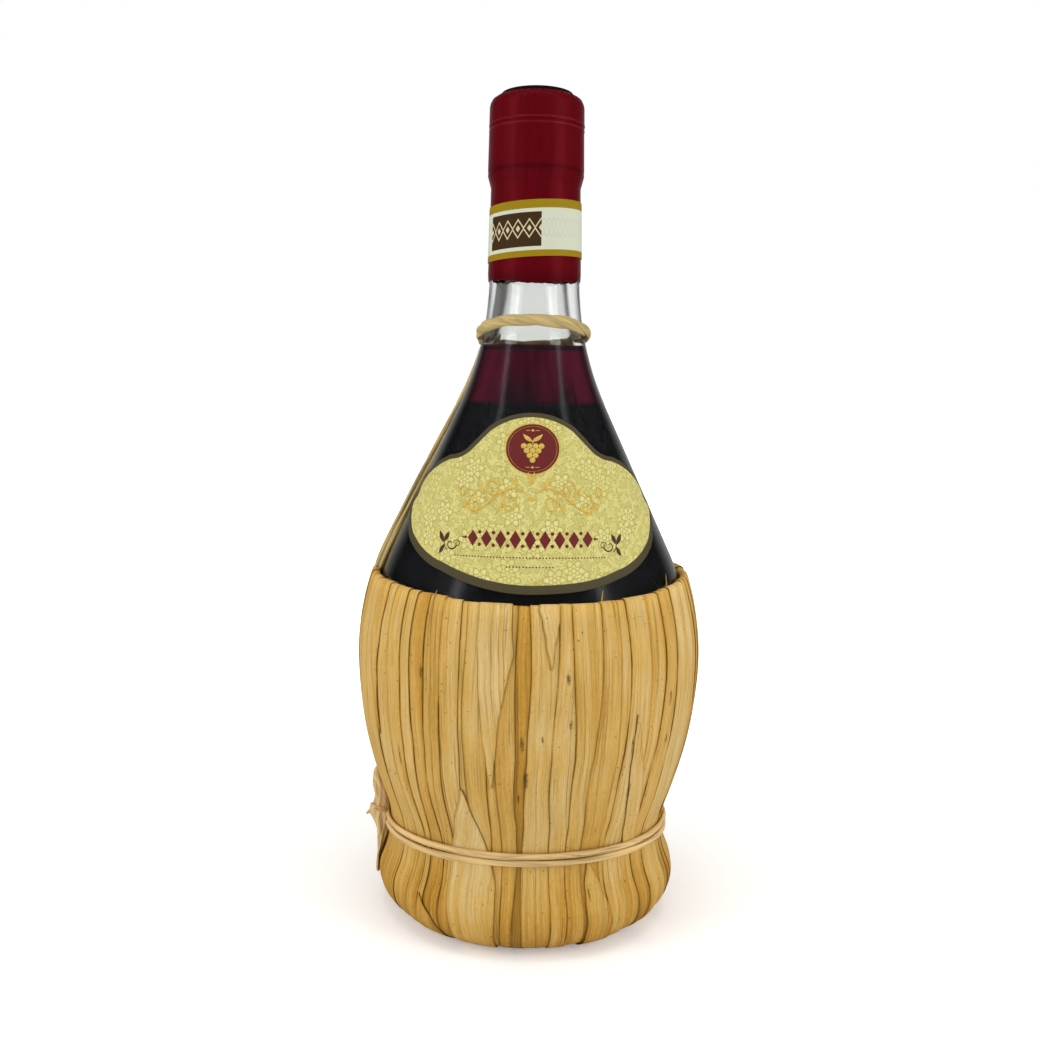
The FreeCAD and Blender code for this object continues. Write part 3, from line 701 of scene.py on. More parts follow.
def strip_finish(settings):
    """Pale paper with two gold bands, a dark panel of lozenges at the left and fine interlaced waves."""
    finish = Finish("strip_paper")
    across, up = finish.uv()
    top = (STRIP_HIGH.z - STRIP_LOW.z) / MM
    fibre = finish.noise((across, up), 2.5, 4.0)
    phase = across * 1.45
    weave = 0.0
    for shift in (0.0, 2.1, 4.2):
        curve = (phase + shift).math("SINE") * 2.6 + top / 2
        weave = finish.most(1 - finish.step(abs(up - curve), 0.10, 0.26), weave)
    paper = finish.mix(weave * 0.42, settings.strip, tinted(settings.strip, 0.62))
    cell = abs((across * 0.30).math("FRACT") - 0.5) * 5.2 + abs(up - top / 2)
    outline = 1 - finish.step(abs(cell - 2.7), 0.22, 0.40)
    kernel = 1 - finish.step(cell, 0.9, 1.15)
    panel = finish.mix(finish.most(outline, kernel), settings.strip_panel, (0.62, 0.53, 0.33))
    inside = (across > -15.4) * (across < 1.8) * (up > 3.0) * (up < top - 3.7)
    body = finish.mix(inside, paper, panel)
    bands = finish.most(up > top - 2.6, up < 1.9)
    gold = finish.mix(fibre * 0.5, settings.strip_gold, tinted(settings.strip_gold, 1.25))
    body = finish.mix(bands, body, gold)
    worn = finish.scaled(body, 0.90 + 0.2 * fibre)
    return finish.done({
        "Base Color": worn,
        "Roughness": 0.42 + 0.2 * fibre,
        "Normal": finish.bump(fibre, 0.15, 0.1 * MM),
        "Specular IOR Level": 0.18,
    })


def label_finish(settings):
    """Damask paper: scattered flowers, curling contour lines and leaf shapes between them, and an olive band.

    A flower's outline is where the distance from the nearest scattered point is 0.27 + 0.06 cos(6 angle) of a
    cell. The curling lines are where a slow noise passes through evenly spaced levels.
    """
    finish = Finish("label_paper")
    across, up = finish.uv()
    edge = finish.attribute("inset")
    cell = 10.5
    spot = finish.vector(across / cell, up / cell)
    centre = finish.cells(spot, 1.0, "Position", "2D")
    offset = finish.node("ShaderNodeVectorMath", {"operation": "SUBTRACT"}, {0: spot, 1: centre})
    east, north, _ = finish.parts(offset)
    lobes = (finish.math("ARCTAN2", north, east) * 6.0).math("COSINE")
    far = finish.node("ShaderNodeVectorMath", {"operation": "LENGTH"}, {0: offset}, "Value")
    petal = far - 0.27 - lobes * 0.06
    lines = 0.0
    for ring_line, thick in ((petal, 0.030), (far - 0.16 + lobes * 0.035, 0.024), (far - 0.07, 0.020)):
        drawn = 1 - finish.step(abs(ring_line), thick * 0.5, thick * 1.3)
        lines = finish.most(drawn, lines)
    inside = 1 - finish.step(petal, -0.02, 0.02)
    curl = finish.noise((across, up), 0.36, 1.0)
    contour = abs((curl * 7.5).math("FRACT") - 0.5)
    leafy = finish.noise((across, up, 4.0), 0.48, 0.0)
    veins = 1 - finish.step(abs(leafy - 0.56), 0.010, 0.034)
    scroll = finish.most((1 - finish.step(contour, 0.06, 0.17)) * 0.95, veins)
    scroll = finish.most(scroll, finish.step(leafy, 0.56, 0.60) * 0.42)
    lines = finish.most(lines, scroll * (1 - inside))
    fibre = finish.noise((across, up), 3.5, 4.0)
    patch = finish.noise((across, up), 0.09, 2.0)
    light = tinted(settings.ground[:2], 1.2) + tinted(settings.ground[2:], 1.6)
    ground = finish.mix(inside * finish.step(patch, 0.40, 0.56) * 0.36, settings.ground, light)
    ground = finish.mix(lines * (0.50 + 0.48 * patch), ground, settings.figure)
    ground = finish.scaled(ground, 0.86 + 0.28 * fibre)
    grain = finish.noise((across, up), 9.0, 2.0)
    band = finish.scaled(settings.border, 0.6 + 0.8 * grain)
    wide = settings.border_width / MM * (1 - 0.42 * finish.step(up, -9.0, 5.0))
    body = finish.mix(finish.step(edge - wide, -0.07, 0.07), band, ground)
    normal = finish.bump(lines * 0.8 + fibre * 0.4, 0.35, 0.10 * MM)
    return finish.done({
        "Base Color": body,
        "Roughness": 0.48 + 0.14 * fibre,
        "Normal": normal,
        "Specular IOR Level": 0.3,
    })


def ink_finish(shade):
    """Dark red print with the paper's tooth."""
    finish = Finish("label_ink")
    tooth = finish.noise(finish.place(), 2.2, 4.0)
    body = finish.tones(tooth, shade, (0.25, 0.8), (0.75, 1.25))
    return finish.done({"Base Color": body, "Roughness": 0.5, "Normal": finish.bump(tooth, 0.2, 0.05 * MM)})


def foil_finish(shade):
    """Stamped gold foil with a faint grain."""
    finish = Finish("label_foil")
    grain = finish.noise(finish.place(), 1.6, 3.0)
    return finish.done({
        "Base Color": finish.tones(grain, shade, (0.25, 0.82), (0.75, 1.12)),
        "Roughness": 0.26 + 0.12 * grain,
        "Metallic": 0.22,
        "Normal": finish.bump(grain, 0.2, 0.06 * MM),
    })


# How far along a strip, in mm from its tucked end, the fold turns outwards, where the painted highlight lies
FOLD_ALONG = 25.0


def straw_finish(settings):
    """Dried leaf: a tone of its own, lengthwise fibres, riper to its brown edges, with stains and specks, a
    painted highlight along the fold over the rim and dark seams that are partly the brown edges and partly
    painted shadow in the joints.

    The UV map runs across and along each strip in millimetres, measured from its visible edge.
    """
    finish = Finish("dried_straw")
    across, along = finish.uv()
    tone = finish.attribute("tone")
    deep = finish.attribute("seed") * 37.0

    def streaks(wide, long, shift, detail=3.0, roughness=0.55):
        return finish.noise((across * wide, along * long, deep + shift), 1.0, detail, roughness)

    fibre = streaks(4.6, 0.060, 0.0, 5.0, 0.68)
    band = streaks(0.75, 0.010, 3.0)
    patch = streaks(0.16, 0.045, 7.0)
    mottle = streaks(1.8, 0.60, 23.0, 5.0, 0.72)
    height = finish.place()[2]
    left = across * finish.attribute("left_fade")
    right = (finish.attribute("width") - across) * finish.attribute("right_fade")
    margin = abs(finish.math("MINIMUM", left, right))
    value = tone + (band - 0.5) * 0.85 + (patch - 0.5) * 0.6 + (mottle - 0.5) * 0.55
    value = value - finish.math("EXPONENT", margin * -1.5) * 0.26
    value = value - (1 - finish.step(height, 4.0, 34.0)) * 0.36
    # Painted highlight: the leaves lighter along the fold over the rim.
    fold = finish.bell(along - FOLD_ALONG, 2.2)
    mellow = [0.45 * a + 0.55 * b for a, b in zip(settings.ripe, settings.straw)]
    beige = [0.62, 0.425, 0.155]
    body = finish.ramp(value, [
        (0.0, tinted(settings.ripe, 0.72)),
        (1.0, settings.pale),
        (0.20, settings.ripe),
        (0.40, mellow),
        (0.60, settings.straw),
        (0.78, beige),
    ])
    body = finish.scaled(body, 0.54 + 0.93 * fibre + 0.11 * fold)
    crack = finish.step(streaks(1.7, 0.022, 11.0, 2.0), 0.62, 0.69)
    hair = finish.step(streaks(6.0, 0.030, 37.0, 1.0), 0.64, 0.74)
    rub = streaks(0.2, 0.07, 17.0)
    # The seam mask is partly the leaves' brown edges and partly painted shadow in the joints between strips.
    seam = finish.math("EXPONENT", margin * -7.6) * finish.step(rub, 0.30, 0.58)
    speck = finish.step(streaks(1.25, 0.85, 29.0, 1.0), 0.725, 0.775)
    mark = finish.step(finish.attribute("stain") + (mottle - 0.5) * 1.6, 0.55, 1.05)
    body = finish.mix(finish.most(crack * 0.42, hair * 0.38), body, settings.seam)
    spots = finish.most(mark * 0.88, speck * 0.75)
    body = finish.mix(spots, body, tinted(settings.seam, 0.55))
    body = finish.mix(finish.math("MINIMUM", seam * 1.5, 0.92), body, settings.seam)
    relief = fibre * 0.7 + band * 0.5 + mottle * 0.35 - crack * 0.4 - hair * 0.25
    normal = finish.bump(relief, 0.65, 0.34 * MM)
    return finish.done({
        "Base Color": body, "Roughness": 0.54 + 0.22 * fibre, "Specular IOR Level": 0.25, "Normal": normal,
    })


def raffia_finish(name, shade):
    """Raffia: pale fibres that follow the cord, with thin brown splits between them."""
    finish = Finish(name)
    around_cord, along = finish.uv()
    fibre = finish.noise((around_cord * 2.1, along * 0.05), 1.0, 5.0, 0.6)
    band = finish.noise((around_cord * 0.5, along * 0.03, 5.0), 1.0, 2.0)
    torn = finish.noise((around_cord * 1.5, along * 0.03, 9.0), 1.0, 2.0)
    split = finish.step(torn, 0.60, 0.69)
    body = finish.ramp(band * 0.6 + fibre * 0.4, [
        (0.34, tinted(shade, 0.62)),
        (0.66, tinted(shade, 1.26)),
        (0.50, shade),
    ])
    body = finish.mix(split * 0.6, body, [0.34 * shade[0], 0.27 * shade[1], 0.15 * shade[2]])
    normal = finish.bump(fibre * 0.7 - split, 0.6, 0.3 * MM)
    return finish.done({"Base Color": body, "Roughness": 0.5 + 0.2 * fibre, "Normal": normal})


def coil_finish(shade):
    """Coarse straw rope: strands that lean across each round of the coil."""
    finish = Finish("straw_rope")
    x, y, z = finish.place()
    reach = ((x * x) + (y * y)) ** 0.5
    bearing = finish.math("ARCTAN2", y, x)
    strand = finish.noise((bearing * 34.0 + reach * 1.6, reach * 0.5, z * 0.5), 1.0, 4.0)
    body = finish.tones(strand, shade, (0.3, 0.45), (0.7, 1.35))
    normal = finish.bump(strand, 0.8, 0.6 * MM)
    return finish.done({"Base Color": body, "Roughness": 0.72, "Normal": normal})


def hoop_finish():
    """Thin cane with lengthwise grain."""
    finish = Finish("cane_hoop")
    x, y, z = finish.place()
    grain = finish.noise((x * 0.3, y * 0.3, z * 4.0), 1.0, 3.0)
    body = finish.ramp(grain, [(0.3, (0.20, 0.11, 0.035)), (0.7, (0.38, 0.23, 0.08))])
    return finish.done({"Base Color": body, "Roughness": 0.6})


# Leaf lengthwise: the runs of its outer face and how many rows of points each has
ROWS = {"tuck": 10, "fold": 11, "shoulder": 26, "flank": 52, "waist": 24, "heel": 26}
FOLD_REACH = SHOULDER_ROUND + LEAF_GLASS_GAP + LEAF + FOLD_IN
RIM_TURN = math.asin(RIM_RISE / FOLD_REACH)
STRIPS = 2 * len(LEAVES)


def rim_turn(bearing, settings):
    """Where the fold lies on the shoulder's arc: lower at the front by the dip times ((1 - sin) / 2)^5."""
    dip = settings.rim_dip * ((1 - np.sin(bearing)) / 2) ** 5
    return RIM_TURN - dip / (FOLD_REACH * math.cos(RIM_TURN))


class LeafPath:
    """The outer face of leaves cut lengthwise, one line for each rim angle: r, z, normal and length so far.

    Six arcs flow together: tuck behind the rim, fold over the hoop, shoulder, flank, hollow waist and heel.
    """

    def __init__(self, rim):
        rim = np.atleast_1d(rim)[:, None]
        bulge = (BODY_R - SHOULDER_ROUND, BODY_Z)
        flank = (STRAW_R - LOWER_ROUND, BODY_Z)
        heel = (HEEL_R, HEEL_LIFT + HEEL_ROUND)
        waist, to_waist, from_waist = self.waist_arc(flank, heel)
        fold = (bulge[0] + FOLD_REACH * np.cos(rim), bulge[1] + FOLD_REACH * np.sin(rim))
        flat = 0.0 * rim
        tucked = rim - TUCK_LENGTH / SHOULDER_ROUND
        runs = {
            "tuck": (bulge, SHOULDER_ROUND + LEAF_GLASS_GAP, tucked, rim, -1),
            "fold": (fold, FOLD_IN + LEAF, rim + math.pi, rim, 1),
            "shoulder": (bulge, STRAW_R - bulge[0], rim, flat, 1),
            "flank": (flank, LOWER_ROUND, flat, flat + to_waist, 1),
            "waist": (waist, WAIST_ROUND, flat + to_waist + math.pi, flat + from_waist + math.pi, -1),
            "heel": (heel, HEEL_ROUND, flat + from_waist, flat - math.pi / 2, 1),
        }
        lines = []
        for name, (centre, radius, start, end, side) in runs.items():
            angle = start + (end - start) * np.linspace(0.0, 1.0, ROWS[name], endpoint=name == "heel")
            cos, sin = np.cos(angle), np.sin(angle)
            lines.append([centre[0] + radius * cos, centre[1] + radius * sin, side * cos, side * sin])
        self.r, self.z, self.out, self.up = (np.concatenate(part, axis=1) for part in zip(*lines))
        steps = np.hypot(np.diff(self.r), np.diff(self.z))
        self.run = np.concatenate([0.0 * rim, np.cumsum(steps, axis=1)], axis=1)
        self.outer = ROWS["tuck"] + ROWS["fold"]

    def waist_arc(self, flank, heel):
        """The hollow arc that touches flank and heel from outside: its centre and the two angles."""
        span = math.dist(flank, heel)
        to_flank, to_heel = LOWER_ROUND + WAIST_ROUND, HEEL_ROUND + WAIST_ROUND
        along = (span ** 2 + to_flank ** 2 - to_heel ** 2) / (2 * span)
        aside = math.sqrt(to_flank ** 2 - along ** 2)
        run = ((heel[0] - flank[0]) / span, (heel[1] - flank[1]) / span)
        centre = (flank[0] + along * run[0] - aside * run[1], flank[1] + along * run[1] + aside * run[0])
        turns = [math.atan2(centre[1] - end[1], centre[0] - end[0]) for end in (flank, heel)]
        return centre, turns[0], turns[1]

    def freedom(self):
        """How freely a leaf may stand off its line: not in the tuck, rising over the fold, not below."""
        row = np.arange(self.r.shape[1])
        return ease(row, ROWS["tuck"], self.outer) * ease(self.z, 0.8 * MM, 7.0 * MM)


USUAL_PATH = LeafPath(RIM_TURN)


def straw_radius(z):
    """The outside of the leaves at each height below the rim."""
    outer = slice(USUAL_PATH.outer, None)
    return np.interp(z, USUAL_PATH.z[0, outer][::-1], USUAL_PATH.r[0, outer][::-1])


def twine_height(bearing):
    return TWINE_Z - TWINE_FRONT_RISE * np.sin(bearing)


# A strip of leaf crosswise: shares of its width, and of its thickness below its outer face
SECTION_ACROSS = np.array([0, 0.015, 0.06, 0.18, 0.34, 0.5, 0.66, 0.82, 0.94, 0.985, 1, 0.97, 0.5, 0.03])
SECTION_DEPTH = np.array([0.5, 0.12, 0, 0, 0, 0, 0, 0, 0, 0.12, 0.5, 1, 1, 1])

# Dark stains on the front leaves: bearing from the front and height, then half width and half length
STAINS = (
    (-0.2, 58.0, 1.5, 5.0), (-1.5, 69.5, 1.0, 4.5), (-2.4, 52.0, 0.9, 3.0), (13.3, 75.0, 1.2, 3.0),
    (12.0, 88.5, 1.1, 3.2), (51.0, 78.5, 1.3, 4.6), (51.3, 65.0, 1.2, 4.2), (34.8, 66.0, 0.8, 5.5),
    (36.4, 51.0, 0.8, 5.5), (-24.8, 19.0, 0.6, 0.9), (-16.4, 19.3, 0.5, 0.8), (24.0, 20.0, 0.7, 4.0),
    (-34.0, 88.0, 1.1, 4.0), (-46.0, 60.0, 0.8, 6.0), (4.7, 71.0, 0.7, 1.6), (27.0, 30.0, 0.7, 3.5),
)


def stain(bearing, z):
    """The strongest bell of all stains at each point, measured in each stain's own half sizes."""
    total = np.zeros(np.broadcast(bearing, z).shape)
    for degrees, height, wide, tall in STAINS:
        aside = (bearing - FRONT - math.radians(degrees)) * STRAW_R / (wide * MM)
        total = np.maximum(total, bell(np.hypot(aside, (z - height * MM) / (tall * MM)), 1.0))
    return total


# Where the front strips meet at the belly, in degrees from the front, by the number of the joint from +X
FRONT_JOINTS = {
    44: -70.7, 45: -65.0, 46: -59.0, 47: -54.0, 48: -49.1, 49: -44.2, 50: -39.4, 51: -34.0,
    52: -31.3, 53: -29.1, 54: -26.2, 55: -22.8, 56: -18.9, 57: -14.2, 58: -9.0, 59: -3.4,
    60: 0.9, 61: 4.8, 62: 9.9, 63: 15.7, 64: 21.3, 65: 25.0, 66: 29.0, 67: 33.2,
    68: 36.5, 69: 39.9, 70: 47.9, 71: 51.5, 72: 54.9, 73: 61.0, 74: 66.0,
}
FAINT_JOINTS = (45, 47, 61, 65, 68, 71, 73)
NARROWEST = 0.022


def strip_edges(rng, rows):
    """Bearings of the joints between strips at each row.

    They are the CAD leaves' own joints, a split in each leaf and the front strips' own places, plus slow
    sways that leave every strip at least its narrowest width.
    """
    number = np.arange(len(LEAVES) + 1)
    wander = LEAF_WANDER * np.sin(LEAF_WANDER_STEP * (number % len(LEAVES)))
    joints = math.tau * (number + wander) / len(LEAVES)
    edges = np.empty(STRIPS + 1)
    edges[0::2] = joints
    edges[1::2] = joints[:-1] + rng.uniform(0.30, 0.70, len(LEAVES)) * np.diff(joints)
    edges[list(FRONT_JOINTS)] = FRONT + np.radians(list(FRONT_JOINTS.values()))
    sway = waves(rng, STRIPS, np.linspace(0.0, 1.0, rows), (0.020, 0.012, 0.004), (0.6, 1.4, 3.1))
    sway = np.concatenate([sway, sway[:1]])
    swayed = edges[:, None] + sway
    widths = np.maximum(np.diff(swayed, axis=0), NARROWEST)
    widths *= math.tau / widths.sum(axis=0)
    return swayed[:1] + np.concatenate([np.zeros((1, rows)), np.cumsum(widths, axis=0)])


def strip_sheets(path, left, right, lift, thickness, values):
    """Sheets of strips: at each row the section spans left to right and stands off the path by its lift."""
    bearing = left[..., None] + (right - left)[..., None] * SECTION_ACROSS
    stand = lift - thickness * SECTION_DEPTH
    reach = path.r[..., None] + stand * path.out[..., None]
    points = around(reach, bearing, path.z[..., None] + stand * path.up[..., None])
    wide = ((right - left) * path.r / MM)[..., None]
    hidden_left, hidden_right = values.pop("hidden")
    across = wide * SECTION_ACROSS - hidden_left
    along = np.broadcast_to((path.run / MM)[..., None], across.shape)
    uv = np.stack([across, along], axis=-1)
    values["width"] = wide - hidden_left - hidden_right
    values["stain"] = stain(bearing, path.z[..., None])
    full = {key: np.broadcast_to(value, across.shape) for key, value in values.items()}
    sheets = []
    for number in range(points.shape[0]):
        own = {key: value[number] for key, value in full.items()}
        sheets.append(Sheet(points[number], close_columns=True, caps=True, uv=uv[number], values=own))
    return sheets


def leaf_sheets(settings):
    """All strips of the forty leaves.

    A strip's lift runs from its left edge to its right one, each raised where it laps over its neighbour and
    lowered where it lies under it, plus a crown 4a(1 - a) and slow waves, pressed flat under the twine.
    """
    rng = np.random.default_rng(SEED)
    middle = math.tau * (np.arange(STRIPS) + 0.5) / STRIPS
    unruly = waves(rng, 1, middle / math.tau, (0.16 * MM, 0.12 * MM), (7, 17))[0]
    unruly = unruly + rng.normal(0.0, 0.05 * MM, STRIPS)
    rim = rim_turn(middle, settings) + unruly / FOLD_REACH
    path = LeafPath(rim)
    rows = path.r.shape[1]
    edges = strip_edges(rng, rows)
    over = rng.random(STRIPS) < 0.5
    over_next = np.roll(over, -1)
    faint = (rng.random(STRIPS) < 0.4) & (np.arange(STRIPS) % 2 == 1)
    placed = np.array(list(FRONT_JOINTS))
    faint[placed] = np.isin(placed, FAINT_JOINTS)
    clear = np.where(faint, 0.25, 1.0)
    clear_next = np.roll(clear, -1)
    lap_left = np.where(over, settings.lap, 0.6 * settings.lap)[:, None]
    lap_right = np.where(over_next, 0.6 * settings.lap, settings.lap)[:, None]
    left = edges[:-1] - lap_left / path.r
    right = edges[1:] + lap_right / path.r
    left_rise = (clear * np.where(over, settings.rise, -settings.drop))[:, None, None]
    right_rise = (clear_next * np.where(over_next, -settings.drop, settings.rise))[:, None, None]
    share = ease(SECTION_ACROSS, 0.0, 1.0)
    crown = rng.uniform(0.0, 0.11, STRIPS)[:, None, None] * MM
    lift = left_rise * (1 - share) + right_rise * share + crown * 4 * SECTION_ACROSS * (1 - SECTION_ACROSS)
    along = np.linspace(0.0, 1.0, rows)
    lift = lift + waves(rng, STRIPS, along, (0.07 * MM, 0.05 * MM), (2.3, 5.7))[..., None]
    press = bell(path.z - twine_height(middle)[:, None], TWINE_PRESS)[..., None]
    lift = (lift * (1 - 0.8 * press) - 0.15 * MM * press) * path.freedom()[..., None]
    hem = rng.uniform(0.0, 0.5 * MM, STRIPS)[:, None] * (1 - ease(path.z, 2.0 * MM, 8.0 * MM))
    lift = lift - (hem * (path.run > path.run[:, -1:] / 2))[..., None]
    tone = np.clip(rng.normal(0.60, 0.12, STRIPS), 0.24, 0.95)
    tone[list(FRONT_TONES)] = list(FRONT_TONES.values())
    seed = rng.random(STRIPS)
    follower = np.flatnonzero(faint)
    tone[follower] = tone[follower - 1]
    seed[follower] = seed[follower - 1]
    covered = 1.6 * settings.lap / MM
    hidden = (np.where(over, 0.0, covered), np.where(over_next, covered, 0.0))
    values = {
        "hidden": [side[:, None, None] for side in hidden],
        "tone": tone[:, None, None],
        "seed": seed[:, None, None],
        "left_fade": np.where(faint, 8.0, 1.0)[:, None, None],
        "right_fade": np.where(np.roll(faint, -1), 8.0, 1.0)[:, None, None],
    }
    return strip_sheets(path, left, right, lift, settings.thickness, values)


# Tones of strips near the front, 0 ripe to 1 pale, by the strip's number from +X
FRONT_TONES = {
    44: 0.60, 45: 0.66, 46: 0.68, 47: 0.62, 48: 0.58, 49: 0.68, 50: 0.42, 51: 0.64,
    52: 0.52, 53: 0.66, 54: 0.66, 55: 0.72, 56: 0.62, 57: 0.62, 58: 0.55, 59: 0.24,
    60: 0.70, 61: 0.76, 62: 0.74, 63: 0.60, 64: 0.54, 65: 0.66,
}

# Loose leaf ends that lie over the others: height, left and right bearing from the front, from root to tip
LEAF_TIPS = {
    "tapered_leaf": (0.80, (
        (112, -15.8, -5.0), (95, -15.4, -4.5), (79.5, -14.2, -7.8), (62, -12.6, -10.0),
        (54.5, -11.3, -11.0),
    )),
    "rim_point": (0.74, (
        (112, 3.2, 10.4), (108, 3.3, 9.9), (99, 5.0, 8.4), (91, 6.8, 7.2),
    )),
    "rising_point": (0.86, (
        (0.5, -26.0, -11.0), (5, -27.0, -10.8), (22, -30.0, -10.6), (33.5, -28.6, -13.8),
        (44, -25.4, -17.9), (54.4, -21.7, -21.3),
    )),
    "heel_point": (0.66, (
        (0.5, 23.2, 34.8), (5, 23.0, 34.6), (16.6, 22.4, 31.4), (22.5, 22.8, 29.2),
        (30.2, 24.1, 24.5),
    )),
    "right_point": (0.70, (
        (31, 40.6, 48.2), (46, 37.3, 44.4), (60, 34.8, 40.6), (76, 35.5, 35.9),
    )),
    "left_point": (0.60, (
        (112, -62.0, -54.0), (96, -60.5, -54.5), (76, -58.0, -55.6), (64, -56.6, -56.2),
    )),
    "torn_flap": (0.56, (
        (0.5, -44.0, -30.5), (4.6, -43.7, -32.0), (10.3, -42.9, -35.6), (16.1, -41.8, -41.4),
    )),
    "back_point": (0.70, (
        (112, 148.0, 158.0), (92, 149.5, 156.0), (66, 152.0, 152.6),
    )),
    "back_riser": (0.80, (
        (0.5, -150.0, -138.0), (30, -149.0, -140.0), (58, -144.6, -144.0),
    )),
    "side_point": (0.66, (
        (112, 96.0, 105.0), (90, 97.0, 104.0), (60, 100.2, 100.8),
    )),
    "side_riser": (0.52, (
        (0.5, -104.0, -94.0), (34, -103.0, -95.0), (62, -99.2, -98.6),
    )),
}


def leaf_tip_sheet(settings, tone, outline, seed):
    """One loose leaf end over the strips: its two edges are read from the outline at each height."""
    heights, lefts, rights = (np.array(part) for part in zip(*outline))
    path = LeafPath(rim_turn(FRONT + np.radians([(lefts[0] + rights[0]) / 2]), settings))
    outer = np.arange(path.r.shape[1]) >= ROWS["tuck"] + 4
    low, high = heights.min() * MM, heights.max() * MM
    free = 0.25 + 0.75 * path.freedom()
    kept = np.flatnonzero(outer & (path.z[0] >= low) & (path.z[0] <= high))
    for part in ("r", "z", "out", "up", "run"):
        setattr(path, part, getattr(path, part)[:, kept])
    free = free[:, kept]
    order = np.argsort(heights)
    left = FRONT + np.radians(np.interp(path.z / MM, heights[order], lefts[order]))
    right = FRONT + np.radians(np.interp(path.z / MM, heights[order], rights[order]))
    rng = np.random.default_rng(seed)
    wander = waves(rng, 2, np.linspace(0.0, 1.0, kept.size), (0.004, 0.003), (1.7, 4.3))
    slim = np.clip((right - left) / math.radians(4.0), 0.0, 1.0)
    left, right = left + wander[:1] * slim, right + wander[1:] * slim
    press = bell(path.z - twine_height(FRONT), TWINE_PRESS)[..., None]
    lift = 0.30 * MM + 0.16 * MM * (1 - press) + 0.06 * MM * 4 * SECTION_ACROSS * (1 - SECTION_ACROSS)
    lift = lift * free[..., None]
    values = {"hidden": (0.0, 0.0), "tone": tone, "seed": rng.random(), "left_fade": 1.0, "right_fade": 1.0}
    return strip_sheets(path, left, right, lift, LEAF_TIP_THICKNESS, values)[0]


SPLINTER_VALUES = {"tone": 0.4, "seed": 0.3, "width": 9.0, "stain": 0.0, "left_fade": 9.0, "right_fade": 9.0}
# Splinters that stand up at the rim: bearing from the front, height and lean
SPLINTERS = ((24.6, 3.6, 0.10), (57.0, 4.2, -0.20), (-33.0, 1.8, 0.3), (118.0, 3.0, 0.2), (-140.0, 3.4, -0.2))


def section_angles(columns):
    """A row of angles round a section, ending where it starts."""
    return np.linspace(0.0, math.tau, columns + 1)[None, :]


def run_length(path):
    """The length along a path up to each of its points."""
    return np.concatenate([[0.0], np.cumsum(np.linalg.norm(np.diff(path, axis=0), axis=1))])


def sweep(path, outwards, half_out, half_side, ripple=1.0, columns=24, twist=0.0):
    """A section carried along a path: half_out cos outwards and half_side sin sideways.

    ripple scales the section at each point, twist turns its fibres along the path, and the UV map runs round
    the cord and along it in millimetres.
    """
    def upright(value):
        return np.reshape(np.broadcast_to(value, len(path)), (-1, 1))

    steps = np.gradient(path, axis=0)
    way = steps / np.linalg.norm(steps, axis=1, keepdims=True)
    side = np.cross(way, outwards)
    side /= np.linalg.norm(side, axis=1, keepdims=True)
    out = np.cross(side, way)
    angle = section_angles(columns)
    half_out, half_side = upright(half_out), upright(half_side)
    rise = half_out * np.cos(angle) * ripple
    spread = half_side * np.sin(angle) * ripple
    points = path[:, None, :] + rise[..., None] * out[:, None, :] + spread[..., None] * side[:, None, :]
    girth = (half_out + half_side) / 2 / MM
    turned = (angle + upright(twist)) * girth
    uv = np.stack(np.broadcast_arrays(turned, run_length(path)[:, None] / MM), axis=-1)
    return Sheet(points, uv=uv)


def closed_ends(count, rows):
    """A taper that rounds the two ends of a cord: 0 at the ends, 1 from some rows in."""
    place = np.arange(count)
    near = np.minimum(place, count - 1 - place) / rows
    return np.sqrt(np.clip(1 - (1 - np.clip(near, 0.0, 1.0)) ** 2, 0.0, 1.0))


def radial(bearing):
    return np.stack([np.cos(bearing), np.sin(bearing), 0.0 * bearing], axis=-1)


def sideways(bearing):
    return np.stack([-np.sin(bearing), np.cos(bearing), 0.0 * bearing], axis=-1)


UP = np.array([0.0, 0.0, 1.0])


def strands(count, columns, turns, number, depth):
    """The ripple of twisted strands: valleys where |cos| of half the strands' phase is small."""
    angle = section_angles(columns)
    twist = np.linspace(0.0, math.tau * turns, count)[:, None]
    return 1 - depth * (1 - np.abs(np.cos(number / 2 * (angle - twist)))) ** 1.5


# Label: the right half of its outline, as shares of its half width across and of its height down
LABEL_CROWN = (0.346, 0.090)
LABEL_SLOPE = (0.480, 0.195)
LABEL_NOTCH_DEEP = (0.552, 0.238)
LABEL_NOTCH_END = (0.640, 0.259)
LABEL_LOBE_ROUND = (0.814, 0.350)
LABEL_LOBE = (0.926, 0.500)
LABEL_WIDEST = (1.0, 0.666)
LABEL_CORNER = (0.969, 0.764)
LABEL_CORNER_ROUND = (0.864, 0.842)
LABEL_BASE = (0.681, 0.904)
LABEL_HALF_WIDTH = 38.2 * MM
LABEL_MIDDLE = 136.0 * MM
LABEL_SAG = 1.5 * MM


def arc_through(first, middle, last, count):
    """Points of the arc through three points of a plane, the last one left out."""
    a, b, c = (np.array(point, float) for point in (first, middle, last))
    system = 2 * np.array([b - a, c - a])
    centre = np.linalg.solve(system, [b @ b - a @ a, c @ c - a @ a])
    angles = [math.atan2(*(point - centre)[::-1]) for point in (a, b, c)]
    sweep_angle = (angles[2] - angles[0]) % math.tau
    if (angles[1] - angles[0]) % math.tau > sweep_angle:
        sweep_angle -= math.tau
    return arc(centre, np.linalg.norm(a - centre), angles[0], angles[0] + sweep_angle, count + 1)[:-1]


